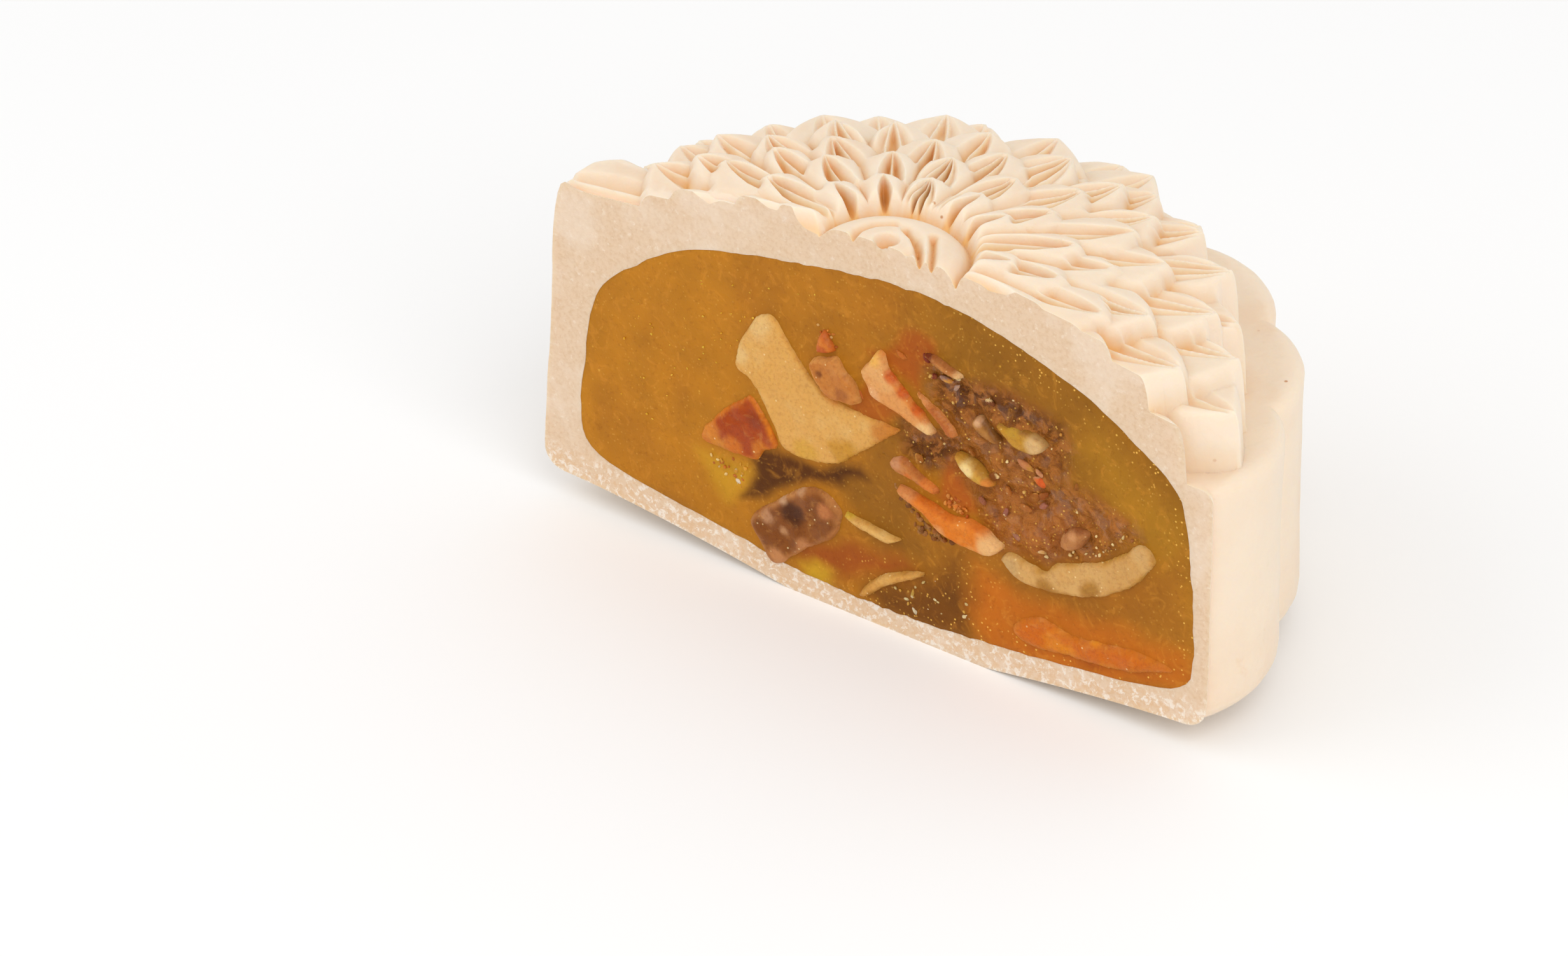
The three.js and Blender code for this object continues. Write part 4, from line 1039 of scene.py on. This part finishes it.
# The morsels in the filling. outline: x, z at the cut; front: how far the face
# stands out; back: how deep it goes; edge: width of its rounded border;
# spots: x, z, size and colour of patches on it
morsels = {
    "pale_slice": {
        "slot": "nut", "front": 0.3, "back": 3.2, "edge": 0.5, "lump": 0.15,
        "core": rgb(220, 164, 84), "rim": rgb(206, 147, 63), "tone": rgb(225, 179, 106),
        "spots": [(-14.5, 25, 2.2, rgb(227, 185, 117)), (-16.6, 21, 1.6, rgb(227, 185, 117)),
                  (-9, 13, 1.6, rgb(212, 160, 63)), (-4.5, 14.5, 2, rgb(197, 140, 44)),
                  (0.5, 18.6, 2.2, rgb(197, 121, 39)), (-6, 20.6, 1.6, rgb(204, 132, 50))],
        "outline": [(-17.45, 20), (-17.1, 18.9), (-15.75, 18.5), (-14.5, 17), (-13.75, 16),
                    (-12.75, 14), (-11.5, 12.1), (-8.25, 11.95), (-6, 12.5), (-4.75, 13.1), (-3, 14.75),
                    (-1, 16.5), (0.75, 18), (2, 19.25), (0, 19.6), (-4, 19.75), (-6.5, 20.25),
                    (-8, 21.25), (-9.5, 22.75), (-10.75, 24.25), (-12, 26), (-13, 26.5), (-14, 26.25),
                    (-15.25, 25), (-16.75, 22.25)],
    },
    "nut_flake": {
        "slot": "nut", "front": 0.9, "back": 2.4, "edge": 0.35, "lump": 0.12,
        "core": rgb(194, 120, 50), "rim": rgb(214, 152, 80), "tone": rgb(202, 134, 66),
        "spots": [(-6.8, 22.6, 0.5, rgb(129, 70, 29)), (-4.2, 21.2, 0.9, rgb(170, 101, 46))],
        "outline": [(-5.1, 24.9), (-4.25, 23.75), (-3, 22.5), (-2.45, 20.75), (-4, 20.3), (-5.75, 20.2),
                    (-6.75, 20.75), (-7.75, 21.9), (-8.2, 23), (-7.75, 23.75), (-6.5, 24.25)],
    },
    "orange_chip": {
        "slot": "peel", "front": 0.8, "back": 2.2, "edge": 0.6, "lump": 0.25,
        "core": rgb(212, 124, 41), "rim": rgb(191, 96, 27), "tone": rgb(227, 164, 76),
        "spots": [(-6.6, 25.2, 0.7, rgb(187, 83, 24))],
        "outline": [(-6.7, 27.2), (-6, 26.4), (-5.4, 25.3), (-6.6, 24.7), (-7.5, 24.6), (-7.4, 26)],
    },
    "almond_sliver": {
        "slot": "nut", "front": 0.8, "back": 3.6, "edge": 0.45, "lump": 0.1,
        "core": rgb(221, 151, 83), "rim": rgb(211, 122, 46), "tone": rgb(229, 175, 110),
        "spots": [(-0.6, 26.4, 1.1, rgb(235, 177, 83)), (1.2, 25.2, 0.9, rgb(201, 89, 22)),
                  (2.8, 24, 0.8, rgb(201, 89, 22)), (4.3, 22.8, 0.8, rgb(201, 89, 22)),
                  (5.2, 20.8, 1.0, rgb(233, 189, 128)), (-0.6, 22.6, 1.0, rgb(227, 168, 114))],
        "outline": [(-2.25, 24.6), (-1.5, 25.75), (-0.5, 27.3), (0.4, 27), (0.9, 25.7), (1.5, 25.2),
                    (2.7, 24), (3.8, 23), (4.7, 22.4), (6, 20.7), (5.7, 20.2), (4.6, 20.5), (2, 21.4),
                    (-0.8, 22), (-1.6, 23.2)],
    },
    "red_sliver": {
        "slot": "peel", "front": 0.6, "back": 2.6, "edge": 0.5, "lump": 0.12,
        "core": rgb(176, 96, 40), "rim": rgb(206, 130, 64), "tone": rgb(196, 120, 60),
        "spots": [(5, 23.7, 0.7, rgb(214, 140, 76))],
        "outline": [(3.7, 24.8), (5.4, 23.9), (7.4, 22.5), (8.7, 21.3), (7.9, 20.8), (6.6, 21.7),
                    (4.9, 23.3)],
    },
    "pale_strip": {
        "slot": "nut", "front": 0.6, "back": 2.2, "edge": 0.4, "lump": 0.12,
        "core": rgb(186, 120, 60), "rim": rgb(156, 90, 38), "tone": rgb(204, 146, 84),
        "spots": [(9, 27.7, 0.9, rgb(223, 176, 119)), (5.4, 28.8, 0.6, rgb(107, 39, 19))],
        "outline": [(4.9, 28.9), (6.2, 29.1), (8.2, 28.5), (9.5, 27.8), (8.4, 27.4), (6.3, 28)],
    },
    "green_peel": {
        "slot": "peel", "front": 0.5, "back": 3.0, "edge": 0.45, "lump": 0.15,
        "core": rgb(191, 138, 37), "rim": rgb(143, 94, 24), "tone": rgb(212, 162, 75),
        "spots": [(17.6, 23.3, 1.3, rgb(218, 179, 121)), (15, 24.2, 0.8, rgb(187, 141, 35))],
        "outline": [(13.1, 24.2), (14.6, 24.7), (17.4, 24.6), (18.8, 23.9), (17.6, 22.5), (15.4, 22.4),
                    (14.2, 23)],
    },
    "small_peel": {
        "slot": "peel", "front": 0.5, "back": 2.0, "edge": 0.5, "lump": 0.2,
        "core": rgb(170, 112, 44), "rim": rgb(128, 80, 30), "tone": rgb(190, 136, 72),
        "spots": [(11.2, 23.8, 0.5, rgb(214, 164, 120))],
        "outline": [(10.3, 23.7), (11.4, 24.3), (12.6, 23.2), (13.4, 22.1), (12, 22), (10.7, 22.8)],
    },
    "melon_seed": {
        "slot": "nut", "front": 0.8, "back": 2.0, "edge": 0.7, "lump": 0.05,
        "core": rgb(206, 158, 62), "rim": rgb(178, 124, 40), "tone": rgb(226, 184, 104),
        # its palest spot is a painted highlight
        "spots": [(10, 18.2, 0.9, rgb(240, 212, 146)), (12.2, 17.4, 0.7, rgb(212, 128, 54))],
        "outline": [(8.3, 19.2), (10, 19.3), (11.9, 18.2), (12.8, 17.2), (11.2, 16.9), (9.4, 17.7)],
    },
    "almond_upper": {
        "slot": "nut", "front": 0.7, "back": 3.2, "edge": 0.4, "lump": 0.15,
        "core": rgb(190, 118, 56), "rim": rgb(168, 92, 36), "tone": rgb(214, 150, 90),
        "spots": [(5.4, 14.5, 1.1, rgb(214, 119, 43)), (3.2, 14.9, 0.7, rgb(210, 113, 41)),
                  (1.8, 16, 0.8, rgb(200, 139, 95))],
        "outline": [(0.9, 16), (2.4, 16.7), (4.2, 15.6), (6.3, 14.7), (6.2, 13.95), (3.8, 14.5),
                    (1.6, 14.9)],
    },
    "almond_lower": {
        "slot": "nut", "front": 1.0, "back": 4.0, "edge": 0.5, "lump": 0.08,
        "core": rgb(221, 122, 30), "rim": rgb(203, 107, 30), "tone": rgb(227, 139, 52),
        "spots": [(13, 10.7, 2.0, rgb(233, 185, 123)), (10.6, 9.6, 1.0, rgb(225, 153, 77)),
                  (3.2, 13, 1.3, rgb(211, 139, 79)), (7, 10.4, 0.9, rgb(223, 151, 86))],
        "outline": [(2, 13.5), (5.5, 13), (8, 12.4), (10.5, 12.6), (13.25, 11.5), (13.8, 10.75),
                    (12, 9.5), (8, 9.75), (6.25, 10.5), (4.75, 11.6), (2.1, 12.6)],
    },
    "pink_morsel": {
        "slot": "peel", "front": 0.6, "back": 2.4, "edge": 0.8, "lump": 0.12,
        "core": rgb(172, 108, 56), "rim": rgb(139, 77, 33), "tone": rgb(191, 132, 78),
        "spots": [(22, 15.4, 0.6, rgb(204, 145, 94))],
        "outline": [(20.3, 13.8), (20.9, 15.4), (22.4, 16.3), (23.4, 15.9), (22.7, 14.3), (21.4, 13.4)],
    },
    "coconut_arc": {
        "slot": "nut", "front": 0.5, "back": 4.2, "edge": 0.6, "lump": 0.08,
        "core": rgb(206, 156, 88), "rim": rgb(186, 132, 50), "tone": rgb(216, 170, 104),
        "spots": [(14.6, 9.3, 1.5, rgb(200, 161, 104)), (24, 10.2, 1.4, rgb(170, 117, 39)),
                  (19, 8.6, 1.3, rgb(170, 117, 39)), (29.6, 16.4, 1.3, rgb(207, 163, 101))],
        "outline": [(14, 10.25), (15.25, 10.7), (18.5, 10.25), (19.5, 11.25), (21, 12.1), (25, 13.75),
                    (27, 15.25), (28.75, 16.9), (30, 17.25), (31, 16.6), (31.1, 15.5), (28.75, 12.5),
                    (25, 9.75), (21, 8.4), (17.5, 7.9), (15.5, 8.1), (13.5, 9.5)],
    },
    "thin_sliver": {
        "slot": "nut", "front": 0.6, "back": 2.4, "edge": 0.4, "lump": 0.06,
        "core": rgb(220, 172, 96), "rim": rgb(189, 133, 51), "tone": rgb(229, 193, 124),
        "spots": [(-4, 8.2, 0.9, rgb(198, 160, 46))],
        "outline": [(-4.4, 8.1), (-2.2, 7.9), (0.6, 7.4), (2.1, 7.4), (1, 6.4), (-1.6, 6.5), (-3.9, 7.2)],
    },
    "seed_sliver": {
        "slot": "nut", "front": 0.6, "back": 2.4, "edge": 0.4, "lump": 0.06,
        "core": rgb(212, 156, 76), "rim": rgb(181, 124, 44), "tone": rgb(222, 174, 98),
        "outline": [(-3, -0.5), (-1.6, 1.5), (1.4, 3.5), (4.8, 4.8), (4.2, 3.8), (1.6, 2.2), (-1, 0.4),
                    (-2.2, -0.7)],
    },
    "orange_peel": {
        "slot": "peel", "front": 0.35, "back": 4.5, "edge": 1.0, "lump": 0.2,
        "core": rgb(204, 104, 16), "rim": rgb(196, 110, 20), "tone": rgb(226, 142, 28),
        "outline": [(14.8, 2.8), (18, 4.9), (22, 4.4), (27.6, 5.3), (32.2, 5.2), (33, 4.4), (28, 2.5),
                    (21.6, 1.6), (16.2, 1.2)],
    },
    "red_peel": {
        "slot": "peel", "front": 0.4, "back": 4.2, "edge": 0.6, "lump": 0.2,
        "core": rgb(166, 66, 10), "rim": rgb(218, 126, 24), "tone": rgb(180, 82, 12),
        "spots": [(-14.8, 14.2, 1.2, rgb(146, 56, 8)), (-17.4, 10.4, 1.5, rgb(206, 113, 27)),
                  (-20.4, 11, 1.6, rgb(214, 130, 38)), (-14.2, 11.2, 1.3, rgb(198, 111, 27)),
                  (-19.4, 9.9, 1.2, rgb(208, 132, 36))],
        "outline": [(-15.4, 16.75), (-14.1, 15.5), (-12.4, 12.25), (-14, 11), (-14.75, 9.75),
                    (-16.5, 9.5), (-21.5, 9.75), (-19.75, 13), (-16.5, 16.1)],
    },
    "brown_fruit": {
        "slot": "peel", "front": 0.6, "back": 6.0, "edge": 0.8, "lump": 0.25,
        # painted light: the paler rim stands partly for a sheen on its edge, the three pale spots along
        # its upper left edge are painted highlights, and the darkest spot is painted shade in a hollow
        "core": rgb(130, 72, 22), "rim": rgb(188, 126, 68), "tone": rgb(158, 94, 36),
        "spots": [(-10.4, 5.6, 1.7, rgb(72, 34, 8)), (-13.5, 4.2, 0.9, rgb(187, 135, 94)),
                  (-11.8, 6.8, 0.8, rgb(197, 152, 111)), (-9.6, 8.6, 0.9, rgb(195, 145, 101)),
                  (-6.6, 7.4, 1.1, rgb(191, 117, 62)), (-9, 2.6, 1.2, rgb(191, 126, 73)),
                  (-12.4, 0.2, 1.2, rgb(197, 134, 81)), (-11.4, 3.4, 0.7, rgb(187, 135, 89))],
        "outline": [(-15.75, 3.25), (-13, 6), (-11, 7.75), (-9.25, 9), (-8, 9.45), (-6.5, 9.25),
                    (-5.25, 8.25), (-4.9, 7), (-6, 4.25), (-9, 2), (-12, -0.75), (-13.5, -1),
                    (-15, 1.25)],
    },
}


fleshLooks = {
    "fine": rgb(170, 112, 50),
    "pale": rgb(226, 160, 80),
    "grain": rgb(248, 220, 160),
    "nutWetness": 0.15,
    "peelWetness": 0.25,
    "softLight": (1.2, 0.6, 0.2),
}


def morselFlesh(name, wetness):
    look = fleshLooks
    paint = Paint(name, {
        "Subsurface Weight": 0.25, "Subsurface Radius": look["softLight"], "Subsurface Scale": mm,
        "Specular IOR Level": 0.15, "Coat Roughness": 0.16, "Coat IOR": 1.45})
    fine = paint.noise(0.4, 4, 0.65)
    broad = paint.noise(1.1, 4, 0.6, 0.5)
    colour = paint.colourOf("tint")
    colour = paint.mix(paint.between(fine, 0.45, 0.7) * 0.25, colour, look["fine"], "MULTIPLY")
    colour = paint.mix(paint.between(broad, 0.52, 0.7) * 0.2, colour, look["pale"])
    grains = (1 - paint.between(paint.cells(0.8), 0.08, 0.16)) * paint.between(paint.noise(2), 0.5, 0.6)
    colour = paint.mix(grains * 0.7, colour, look["grain"])
    paint.feed(paint.shader, {"Coat Weight": wetness * paint.between(paint.noise(1.6, 3), 0.35, 0.6)})
    normal = paint.bump(broad, 0.25, paint.bump(fine, 0.07))
    return paint.finish(colour, 0.5 + 0.2 * fine, normal)


flesh = {
    "nut": morselFlesh("nut_flesh", fleshLooks["nutWetness"]),
    "peel": morselFlesh("candied_peel", fleshLooks["peelWetness"]),
}
morselMake = {
    "spacing": 0.26,         # of the mesh
    "stray": 0.16,           # of the outlines
    "taper": 0.8,            # of each morsel towards its back
    "farthest": -0.98,       # how far one may stand out of the cut
    "rimBack": 0.25,         # how far the rim lies behind the cut
    "rimStray": 0.3,
    "toneShare": 0.6,
    "spotShare": 0.9,
    "spotStray": 0.35,
}


def makeMorsel(name, look, seed):
    make = morselMake
    line = curveThrough(look["outline"], make["spacing"])
    spots = flatPoints(line[:, 0], line[:, 1])
    stray = np.stack([roughNoise(spots, 1.6, seed), roughNoise(spots, 1.6, seed + 3)], axis=1)
    line = line + make["stray"] * stray
    flat, faces = fillOutline([line], make["spacing"], seed)
    x, z = flat[:, 0], flat[:, 1]
    spots = flatPoints(x, z)
    inward = distanceTo(x, z, line)
    inward[:len(line)] = 0
    border = clamp(inward / look["edge"])
    dome = np.sqrt(1 - (1 - border) ** 2)
    lumps = look["lump"] * roughNoise(spots, 2.2, seed + 5)
    y = make["rimBack"] - (look["front"] + make["rimBack"]) * dome + lumps * border
    y = np.maximum(y, make["farthest"])
    front = np.stack([x, y, z], axis=1)
    middle = flat[:len(line)].mean(axis=0)
    drawnIn = middle + (flat - middle) * make["taper"]
    back = np.stack([drawnIn[:, 0], np.full(len(x), look["back"]), drawnIn[:, 1]], axis=1)
    count = len(front)
    ring = np.arange(len(line))
    following = np.roll(ring, -1)
    sides = np.stack([ring, following, count + following, count + ring], axis=1)
    ends = np.concatenate([faces, count + faces])
    piece = newPiece(name + "_morsel", np.concatenate([front, back]), [sides, ends],
                     [flesh[look["slot"]]], sharpAt=70)
    at = placesOf(piece)
    spots = flatPoints(at[:, 0], at[:, 2])
    inward = distanceTo(at[:, 0], at[:, 2], line)
    inward = inward + make["rimStray"] * roughNoise(spots, 1.5, seed + 7)
    shade = ease(inward, 0, look["edge"] * 1.2)
    colour = blend(np.array(look["rim"]), np.array(look["core"]), shade[:, None])
    pale = ease(roughNoise(spots, 2.4, seed + 9), 0.05, 0.6) * make["toneShare"]
    colour = blend(colour, np.array(look["tone"]), pale[:, None])
    uneven = make["spotStray"] * roughNoise(spots, 1.2, seed + 11)
    for spotX, spotZ, size, tint in look.get("spots", []):
        away = np.hypot(at[:, 0] - spotX, at[:, 2] - spotZ) / size + uneven
        share = (1 - ease(away, 0.4, 1.1)) * make["spotShare"]
        colour = blend(colour, np.array(tint), share[:, None])
    giveColour(piece, "tint", colour)
    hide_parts(name)
    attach(piece, "root")
    return piece


for number, (name, look) in enumerate(morsels.items()):
    makeMorsel(name, look, 100 + 20 * number)
print("morsels", len(morsels))


# Crumbs and chips under two millimetres
crumbs = {
    "seed": 17,
    "sides": 12,
    "rings": 8,
    "dents": (0.35, 0.8),    # depth, as a share of the size, and how broad
    "middle": (-0.1, 0.12),  # how far behind the cut, least and most
    "slender": (0.45, 0.9),  # width as a share of the length
    "thickest": 0.5,
    "shades": (0.8, 1.05),
    # how many, smallest and largest size, colours, area
    "fields": [
        (6, 0.8, 1.5, [rgb(152, 88, 22), rgb(160, 96, 28), rgb(140, 76, 18)], fruitMass),
        (34, 0.15, 0.4, [rgb(226, 176, 96), rgb(236, 200, 140), rgb(206, 140, 60)], fruitMass),
        (4, 0.9, 1.6, [rgb(164, 94, 34), rgb(172, 104, 42), rgb(150, 80, 24)],
         [(12.5, 17.5), (17, 19), (20.5, 18), (23, 16.8), (20.5, 13.4), (16.3, 11.2), (13.5, 11.5),
          (11.5, 14)]),
        (40, 0.4, 1.0, [rgb(156, 98, 46), rgb(172, 116, 60), rgb(134, 80, 32)],
         [(1.2, 13.2), (2.2, 13), (3.6, 11.6), (4.6, 10.2), (6.4, 9.6), (8.2, 9.4), (7.8, 8.9),
          (5.6, 8.8), (3.6, 9), (3.2, 10.8), (1.4, 12.2)]),
        (26, 0.25, 0.6, [rgb(214, 116, 40), rgb(226, 144, 66), rgb(190, 92, 30)],
         [(6.4, 13.4), (8, 14.6), (9.6, 13.4), (10.4, 12.6), (8.4, 12.6)]),
        (20, 0.2, 0.5, [rgb(216, 126, 48), rgb(190, 96, 34), rgb(230, 170, 100)],
         [(-7.6, 27.6), (-5.8, 27.2), (-5, 25.6), (-6, 25.4), (-7.4, 26)]),
        (30, 0.15, 0.45, [rgb(222, 190, 128), rgb(214, 156, 66), rgb(236, 210, 160)],
         [(-0.5, 0.2), (3, 3), (9, 5.6), (10, 1.4), (5, 0.4)]),
        (26, 0.2, 0.5, [rgb(222, 156, 56), rgb(196, 110, 40), rgb(240, 200, 130)],
         [(-21, 8.6), (-16, 9.2), (-15, 8), (-17, 5.4), (-19.4, 6)]),
        (24, 0.2, 0.45, [rgb(232, 196, 136), rgb(206, 150, 84), rgb(150, 92, 44)],
         [(17.2, 11.2), (20, 12), (25, 14.2), (28.6, 17.2), (28.2, 17.8), (24, 15), (19.8, 12.6),
          (17.2, 11.8)]),
        (70, 0.12, 0.3, [rgb(236, 184, 60), rgb(226, 166, 40)],
         [(-32, 8), (-30, 22), (-20, 29), (-8, 31), (0, 32), (-14, 26), (-20, 18), (-24, 9)]),
    ],
    # x, z, length, width, degrees from +X, colour
    "chips": [
        (18, 19.6, 1.5, 0.8, -25, rgb(206, 88, 30)), (16.4, 20.9, 1.9, 0.7, -20, rgb(190, 122, 76)),
        (17.8, 20.5, 1.2, 0.5, -30, rgb(204, 140, 96)), (15.3, 12.6, 1.0, 0.6, -30, rgb(160, 104, 84)),
        (14, 14.8, 0.9, 0.5, 70, rgb(150, 92, 74)), (18.3, 17.1, 1.0, 0.5, 40, rgb(160, 100, 78)),
        (11.5, 15.2, 0.9, 0.5, -40, rgb(150, 90, 60)), (2.5, 0.8, 0.8, 0.35, 10, rgb(232, 206, 150)),
        (3.5, -0.2, 0.8, 0.4, -40, rgb(236, 214, 176)), (3.2, 1.6, 1.1, 0.3, 80, rgb(206, 164, 74)),
        (-17.3, 6.5, 0.7, 0.5, -20, rgb(236, 210, 180)), (7.3, 26.8, 1.6, 0.5, -5, rgb(170, 130, 110)),
        (8.5, 26.4, 0.9, 0.5, 50, rgb(186, 150, 130)), (5.9, 26.6, 0.8, 0.5, 20, rgb(120, 50, 30)),
        (-4.8, 19.6, 1.0, 0.4, -15, rgb(236, 206, 160)), (17.9, 12, 1.6, 0.4, 5, rgb(226, 176, 120)),
        (12.4, 26.2, 1.2, 0.5, -15, rgb(120, 62, 26)), (5.1, 28.3, 1.0, 0.6, -60, rgb(126, 46, 26)),
        (2.2, 27.6, 1.4, 0.5, -30, rgb(206, 112, 40)), (-2.6, 21.6, 1.4, 0.4, -60, rgb(196, 96, 34)),
    ],
}


def crumbBody(centre, reach, turn, draw):
    # a small dented lump
    sides, rings = crumbs["sides"], crumbs["rings"]
    across = np.linspace(0, 2 * math.pi, sides, endpoint=False)
    down = np.linspace(0, math.pi, rings + 2)[1:-1]
    a, d = np.meshgrid(across, down, indexing="ij")
    points = np.stack([np.cos(a) * np.sin(d), np.sin(a) * np.sin(d), np.cos(d)], axis=-1).reshape(-1, 3)
    points = np.concatenate([[[0, 0, 1]], points, [[0, 0, -1]]])
    high, wide = crumbs["dents"]
    points *= 1 + high * softNoise(points + draw.uniform(-50, 50, 3), wide, 5)[:, None]
    points *= reach
    c, s = math.cos(turn), math.sin(turn)
    x, z = points[:, 0] * c - points[:, 2] * s, points[:, 0] * s + points[:, 2] * c
    first = 1 + np.arange(sides) * rings
    following = np.roll(first, -1)
    last = np.full(sides, len(points) - 1)
    caps = np.concatenate([np.stack([0 * first, first, following], axis=1),
                           np.stack([last, following + rings - 1, first + rings - 1], axis=1)])
    return np.stack([x, points[:, 1], z], axis=1) + centre, gridFaces(1, sides, rings, closed=True), caps


def makeCrumbs():
    draw = np.random.RandomState(crumbs["seed"])
    points, quads, caps, centres, tones = [], [], [], [], []

    def lay(x, z, length, width, turn, colour):
        centre = np.array([x, draw.uniform(*crumbs["middle"]), z])
        reach = np.array([length, min(width, crumbs["thickest"]), width]) / 2
        body, sides, ends = crumbBody(centre, reach, turn, draw)
        start = sum(len(part) for part in points)
        quads.append(sides + start)
        caps.append(ends + start)
        points.append(body)
        centres.append(centre)
        tones.append(np.array(colour) * draw.uniform(*crumbs["shades"]))

    for count, smallest, largest, tints, area in crumbs["fields"]:
        area = np.array(area, float)
        laid = 0
        while laid < count:
            x, z = draw.uniform(area.min(axis=0), area.max(axis=0))
            if isInside(x, z, area):
                size = draw.uniform(smallest, largest)
                width = size * draw.uniform(*crumbs["slender"])
                turn = draw.uniform(0, math.pi)
                lay(x, z, size, width, turn, tints[draw.randint(len(tints))])
                laid += 1
    for x, z, length, width, turn, colour in crumbs["chips"]:
        lay(x, z, length, width, math.radians(turn), colour)
    faces = [np.concatenate(quads), np.concatenate(caps)]
    piece = newPiece("fruit_crumbs", np.concatenate(points), faces, [flesh["nut"]], sharpAt=80)
    at = placesOf(piece)
    away = np.linalg.norm(at[:, None, :] - np.array(centres)[None], axis=2)
    shade = 1 + 0.1 * softNoise(at, 0.4, 9)
    giveColour(piece, "tint", np.array(tones)[away.argmin(axis=1)] * shade[:, None])
    return piece


crumbPiece = makeCrumbs()
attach(crumbPiece, "root")
print("crumbs", len(crumbPiece.data.vertices), "points")


# Floor, light and camera

studio = {
    "floor": rgb(250, 250, 250),
    "floorShade": rgb(236, 236, 236),
    "floorReach": 3000,
    "floorSteps": 24,
    "target": (0, 12, 16),
    "lights": [
        # name, bearing from -Y towards +X, height angle, distance, size, power
        ("key_light", 60, 44, 0.9, 0.6, 2.55),
        ("fill_light", -50, 34, 1.0, 0.9, 2.0),
    ],
    "lampColour": (1, 0.99, 0.97),
    "sky": 0.78,
}
view = {
    "bearing": 37.899,
    "height": 32.672,
    "roll": -1.0,
    "distance": 900,
    "aim": (0, 0, 18),
    "offset": (9.25, 3.941),
    "lens": 222.5,
}


def directionOf(bearing, height):
    a, e = math.radians(bearing), math.radians(height)
    return np.array([math.sin(a) * math.cos(e), -math.cos(a) * math.cos(e), math.sin(e)])


def makeFloor():
    reach, steps = studio["floorReach"], studio["floorSteps"]
    across = np.linspace(-reach, reach, steps)
    x, y = np.meshgrid(across, across, indexing="ij")
    ground = skinLow.z / mm - origin[2]
    points = np.stack([x.ravel(), y.ravel(), np.full(x.size, ground)], axis=1)
    paint = Paint("studio_floor", {"Specular IOR Level": 0.1})
    colour = paint.mix(paint.noise(60, 2) * 0.04, studio["floor"], studio["floorShade"])
    roughness = 0.9 - 0.05 * paint.noise(30, 2)
    material = paint.finish(colour, roughness, paint.bump(paint.noise(20, 2), 0.02))
    floor = newPiece("studio_floor", points, [gridFaces(0, steps, steps)], [material])


def setColours():
    # screen colours as they are, without a film curve
    bpy.context.scene.view_settings.view_transform = "Standard"


def makeLights():
    target = Vector((np.array(studio["target"]) + origin) * mm)
    for name, bearing, height, distance, size, power in studio["lights"]:
        lamp = bpy.data.lights.new(name, "AREA")
        lamp.size = size
        lamp.energy = power
        lamp.color = studio["lampColour"]
        holder = bpy.data.objects.new(name, lamp)
        bpy.context.scene.collection.objects.link(holder)
        away = Vector(directionOf(bearing, height))
        holder.location = target + away * distance
        holder.rotation_euler = away.to_track_quat("Z", "Y").to_euler()
    world = bpy.data.worlds.new("studio_sky")
    world.use_nodes = True
    background = world.node_tree.nodes["Background"]
    background.inputs["Color"].default_value = (1, 1, 1, 1)
    background.inputs["Strength"].default_value = studio["sky"]
    bpy.context.scene.world = world


def makeCamera():
    back = Vector(directionOf(view["bearing"], view["height"]))
    turn = math.radians(view["bearing"])
    level = Vector((math.cos(turn), math.sin(turn), 0))
    upright = level.cross(-back)
    roll = math.radians(view["roll"])
    right = math.cos(roll) * level + math.sin(roll) * upright
    up = math.cos(roll) * upright - math.sin(roll) * level
    place = Vector(np.array(view["aim"]) + origin) + back * view["distance"]
    place -= right * view["offset"][0] + up * view["offset"][1]
    camera = bpy.data.cameras.new("photo_camera")
    camera.lens = view["lens"]
    camera.sensor_width = 36
    camera.clip_start = 0.01
    camera.clip_end = 20
    holder = bpy.data.objects.new("photo_camera", camera)
    bpy.context.scene.collection.objects.link(holder)
    turned = Matrix((right, up, back)).transposed().to_4x4()
    turned.translation = place * mm
    holder.matrix_world = turned
    bpy.context.scene.camera = holder


makeFloor()
setColours()
makeLights()
makeCamera()
print("floor, lights and camera")
